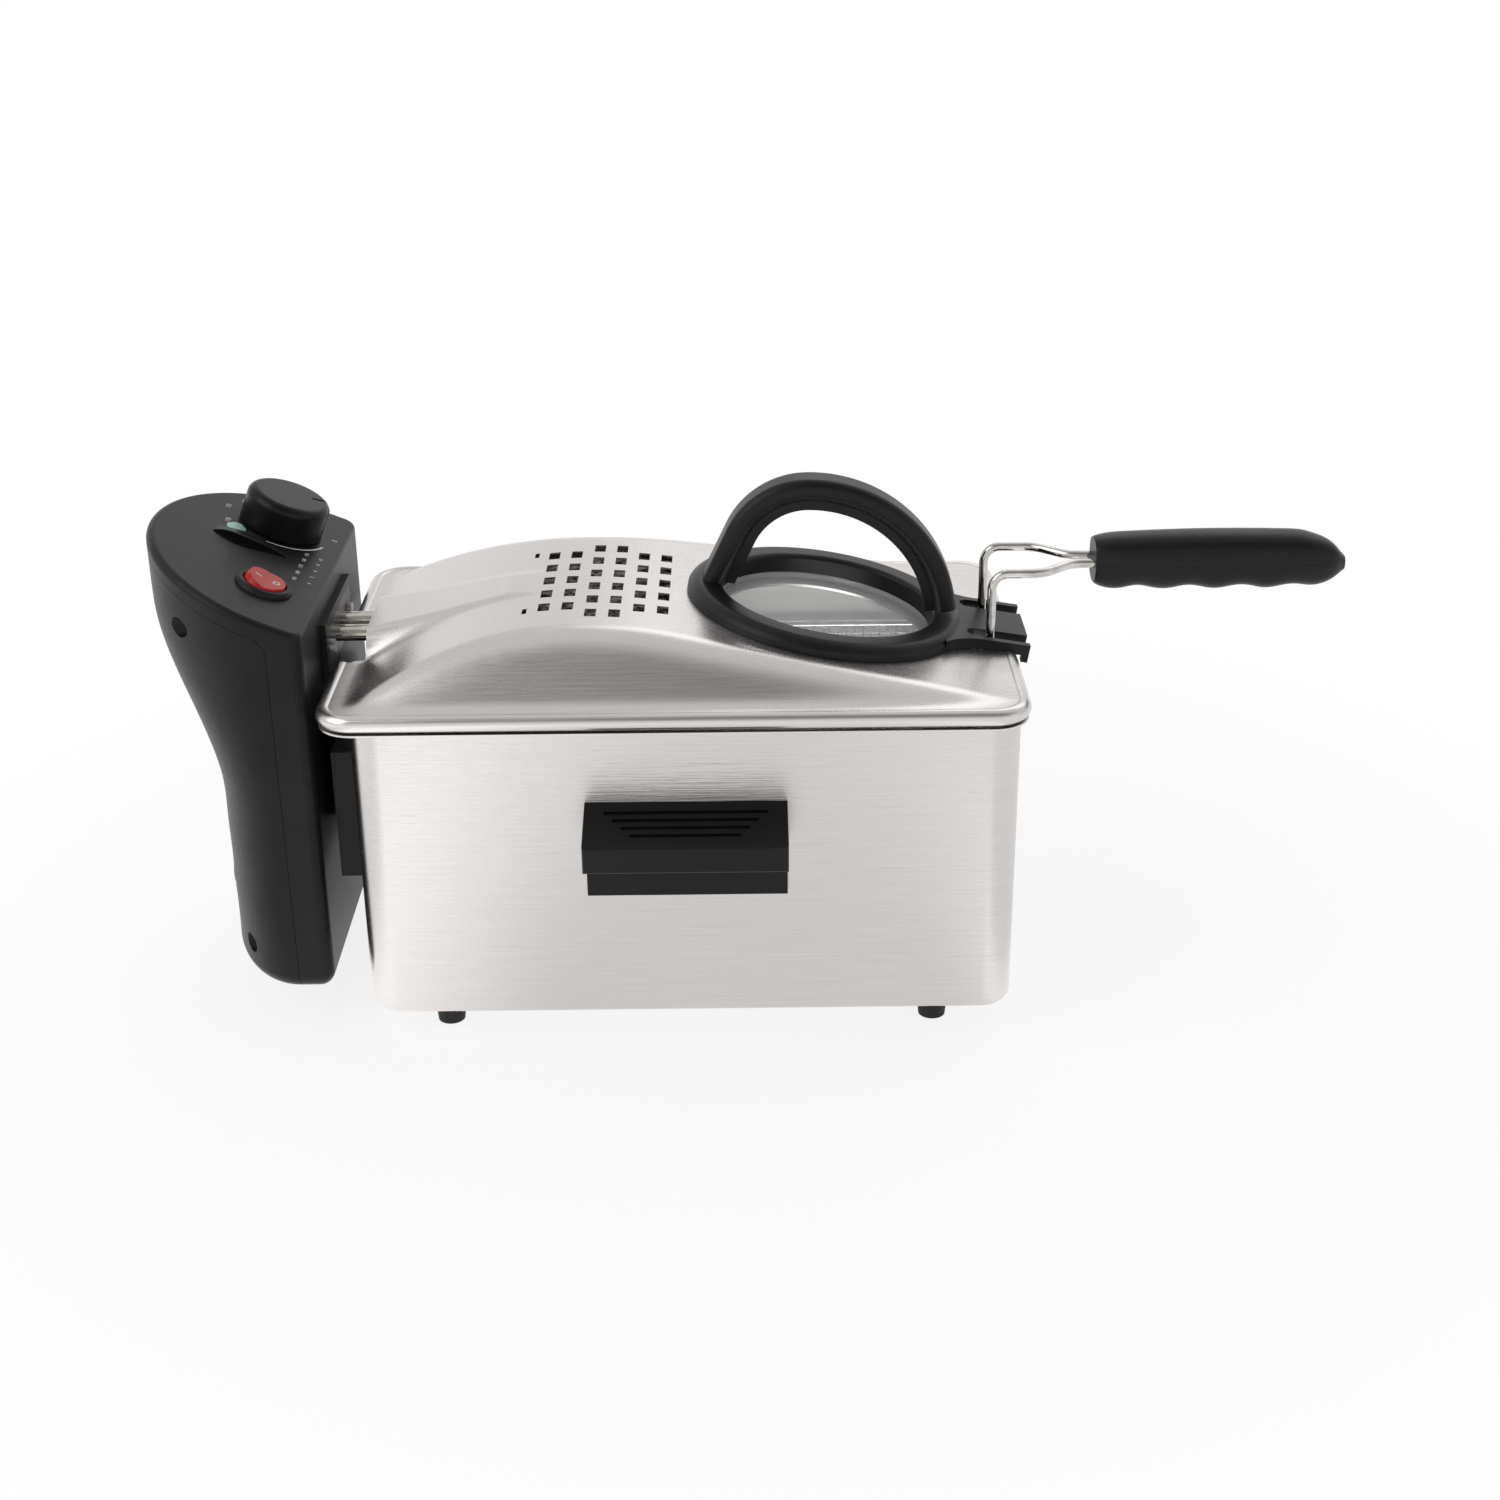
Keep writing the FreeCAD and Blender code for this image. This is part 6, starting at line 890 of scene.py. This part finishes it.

# %% [markdown]
# The room is a plain pale studio. The floor is one large sheet that curves up far behind the object. For
# the rays that form a picture it fades to plain white, so that the background is white without more light
# on the object; near the object its own paint still shows the shadow. Where steel mirrors the floor in
# front, three soft pools glow brighter for mirror rays alone: they are painted reflections, lit by no lamp,
# and they give the steel its bands.

# %% Studio floor
NEAR, FAR, NEAR_WHITE = 0.26, 0.50, 0.83
# Painted reflections: bands of extra floor glow that only mirror rays see, at these places across the floor.
PAINTED_REFLECTION_POOLS = ((-0.80, 0.45, 0.50), (-0.20, 0.115, 0.68), (0.135, 0.05, 0.40))
PAINTED_POOL_START_Y, PAINTED_POOL_FULL_Y = 0.05, -0.10
FLOOR_HALF, FLOOR_BEND_Y, FLOOR_BEND = 6.0, 3.0, 2.0


def floor_sheet():
    """A sheet that runs level, then up a quarter circle: depth and height follow the arc's sine and
    cosine."""
    across = np.linspace(-FLOOR_HALF, FLOOR_HALF, 13)
    turn = np.linspace(0, math.pi / 2, 13)[1:]
    level_run = np.linspace(-FLOOR_HALF, FLOOR_BEND_Y, 19)
    depth = np.concatenate([level_run, FLOOR_BEND_Y + FLOOR_BEND * np.sin(turn)])
    height = np.concatenate([np.zeros_like(level_run), FLOOR_BEND - FLOOR_BEND * np.cos(turn)])
    grid = np.stack(np.broadcast_arrays(across[None], depth[:, None], height[:, None]), -1)
    return grid.reshape(-1, 3), grid_quads(len(depth), len(across))


def studio_paint():
    """White paint that fades to plain white away from the object, for camera, mirror and glass rays alone, with
    pools of painted reflection that only mirror rays see.
    """
    material, tree, surface = new_finish("pale_studio_floor", Roughness=0.9, Specular_IOR_Level=0.1)
    surface.inputs["Base Color"].default_value = colour("#fbfbfb")
    place = add(tree, "ShaderNodeTexCoord").outputs["Object"]
    distance = add(tree, "ShaderNodeVectorMath", {0: place}, operation="LENGTH").outputs["Value"]
    fade = {0: distance, 1: NEAR, 2: FAR, 3: NEAR_WHITE, 4: 1.0}
    far = add(tree, "ShaderNodeMapRange", fade, interpolation_type="SMOOTHSTEP").outputs[0]
    rays = add(tree, "ShaderNodeLightPath").outputs
    direct = {0: rays["Is Camera Ray"], 1: rays["Is Glossy Ray"]}
    direct = add(tree, "ShaderNodeMath", direct, operation="ADD").outputs[0]
    seen = {0: direct, 1: rays["Is Transmission Ray"]}
    seen = add(tree, "ShaderNodeMath", seen, operation="ADD", use_clamp=True).outputs[0]
    share = add(tree, "ShaderNodeMath", {0: seen, 1: far}, operation="MULTIPLY").outputs[0]
    spot = add(tree, "ShaderNodeSeparateXYZ", {0: place}).outputs
    # The pools are painted reflections: they add glow in front of the object for mirror rays alone.
    painted_reflection = 0.0
    for middle, reach, gain in PAINTED_REFLECTION_POOLS:
        offset = add(tree, "ShaderNodeMath", {0: spot["X"], 1: middle}, operation="SUBTRACT").outputs[0]
        away = add(tree, "ShaderNodeMath", {0: offset}, operation="ABSOLUTE").outputs[0]
        hill = {0: away, 1: reach, 2: 0.0, 3: 0.0, 4: gain}
        swell = add(tree, "ShaderNodeMapRange", hill, interpolation_type="SMOOTHSTEP").outputs[0]
        painted_reflection = add(tree, "ShaderNodeMath", {0: swell, 1: painted_reflection}, operation="ADD").outputs[0]
    ahead = add(tree, "ShaderNodeMapRange", {0: spot["Y"], 1: PAINTED_POOL_START_Y, 2: PAINTED_POOL_FULL_Y}).outputs[0]
    mirrored = {0: ahead, 1: rays["Is Glossy Ray"]}
    mirrored = add(tree, "ShaderNodeMath", mirrored, operation="MULTIPLY").outputs[0]
    sums = {0: painted_reflection, 1: mirrored, 2: 1.0}
    strength = add(tree, "ShaderNodeMath", sums, operation="MULTIPLY_ADD").outputs[0]
    white = add(tree, "ShaderNodeEmission", {"Color": (1, 1, 1, 1), "Strength": strength})
    both = add(tree, "ShaderNodeMixShader", {0: share, 1: surface.outputs["BSDF"], 2: white.outputs[0]})
    output = [node for node in tree.nodes if node.type == "OUTPUT_MATERIAL"][0]
    tree.links.new(both.outputs[0], output.inputs["Surface"])
    return material


floor_points, floor_faces = floor_sheet()
floor_mesh = bpy.data.meshes.new("studio_floor")
floor_mesh.from_pydata(floor_points.tolist(), [], floor_faces.tolist())
floor_mesh.materials.append(studio_paint())
floor = bpy.data.objects.new("studio_floor", floor_mesh)
scene.collection.objects.link(floor)
print("floor: %d faces" % len(floor_mesh.polygons))

# %% [markdown]
# Soft light comes from a bright sky on all sides. It is dimmer high up in front, where a studio is dark
# behind the camera, and a little brighter low in front. Steel mirrors this sky as it is, so that its bands
# stay clear; the camera itself sees plain white there.

# %% Studio sky
SKY, SKY_HIGH_FRONT, SKY_LOW_FRONT = 0.75, 0.26, 1.3

world = bpy.data.worlds.new("studio_sky")
scene.world = world
world.use_nodes = True
sky = world.node_tree
sky.nodes.clear()
way = add(sky, "ShaderNodeSeparateXYZ", {0: add(sky, "ShaderNodeTexCoord").outputs["Generated"]}).outputs
steps = [(way["Z"], 0.35, 0.75), (way["Z"], 0.5, 0.2), (way["Y"], 0.1, -0.4)]
soft = {"interpolation_type": "SMOOTHSTEP"}
high, low, front = [add(sky, "ShaderNodeMapRange", dict(enumerate(step)), **soft).outputs[0] for step in steps]
dim = add(sky, "ShaderNodeMath", {0: high, 1: front}, operation="MULTIPLY").outputs[0]
near = add(sky, "ShaderNodeMath", {0: low, 1: front}, operation="MULTIPLY").outputs[0]
greys = {"Factor": dim, 6: (SKY, SKY, SKY, 1), 7: (SKY_HIGH_FRONT, SKY_HIGH_FRONT, SKY_HIGH_FRONT, 1)}
shade = add(sky, "ShaderNodeMix", greys, data_type="RGBA").outputs[2]
glow = add(sky, "ShaderNodeMapRange", {0: near, 3: 1.0, 4: SKY_LOW_FRONT}).outputs[0]
light = add(sky, "ShaderNodeBackground", {"Color": shade, "Strength": glow}).outputs[0]
blank = add(sky, "ShaderNodeBackground", {"Color": (1, 1, 1, 1), "Strength": 1.0}).outputs[0]
looked_at = add(sky, "ShaderNodeLightPath").outputs["Is Camera Ray"]
backdrop = add(sky, "ShaderNodeMixShader", {0: looked_at, 1: light, 2: blank}).outputs[0]
add(sky, "ShaderNodeOutputWorld", {"Surface": backdrop})
print("sky:", world.name)

# %% [markdown]
# Two large lamps shape the object: one from the front left and a weaker one from behind on the right. Their
# strength is low enough for a colour to render about as it is written. A small third lamp under the lid
# lets the basket show through the window; the camera can't see the lamp itself.

# %% Studio lamps
OBJECT_MIDDLE = (0.0, 0.0, 0.1)


def soft_lamp(name, place, aim, size, power):
    """An oblong lamp at a place, in metres, turned so that it looks at a point."""
    lamp_data = bpy.data.lights.new(name, "AREA")
    lamp_data.shape = "RECTANGLE"
    lamp_data.size, lamp_data.size_y = size
    lamp_data.energy = power
    lamp = bpy.data.objects.new(name, lamp_data)
    scene.collection.objects.link(lamp)
    back = np.asarray(place, float) - aim
    back /= np.linalg.norm(back)
    side = np.cross((0.0, 0.0, 1.0), back)
    side /= np.linalg.norm(side)
    matrix = np.eye(4)
    matrix[:3, :3] = np.stack([side, np.cross(back, side), back], 1)
    matrix[:3, 3] = place
    lamp.matrix_world = Matrix(matrix.tolist())
    return lamp


key_lamp = soft_lamp("key_lamp", (-1.22, -0.62, 1.3), OBJECT_MIDDLE, (1.3, 1.3), 9.5)
back_lamp = soft_lamp("back_lamp", (0.6, 1.3, 1.3), OBJECT_MIDDLE, (1.6, 0.8), 3.5)
inside_lamp = soft_lamp("inside_lamp", (0.035, -0.05, 0.142), (0.04, 0.065, 0.118), (0.14, 0.02), 0.08)
inside_lamp.visible_camera = False
print("lamps:", key_lamp.name, back_lamp.name, inside_lamp.name)
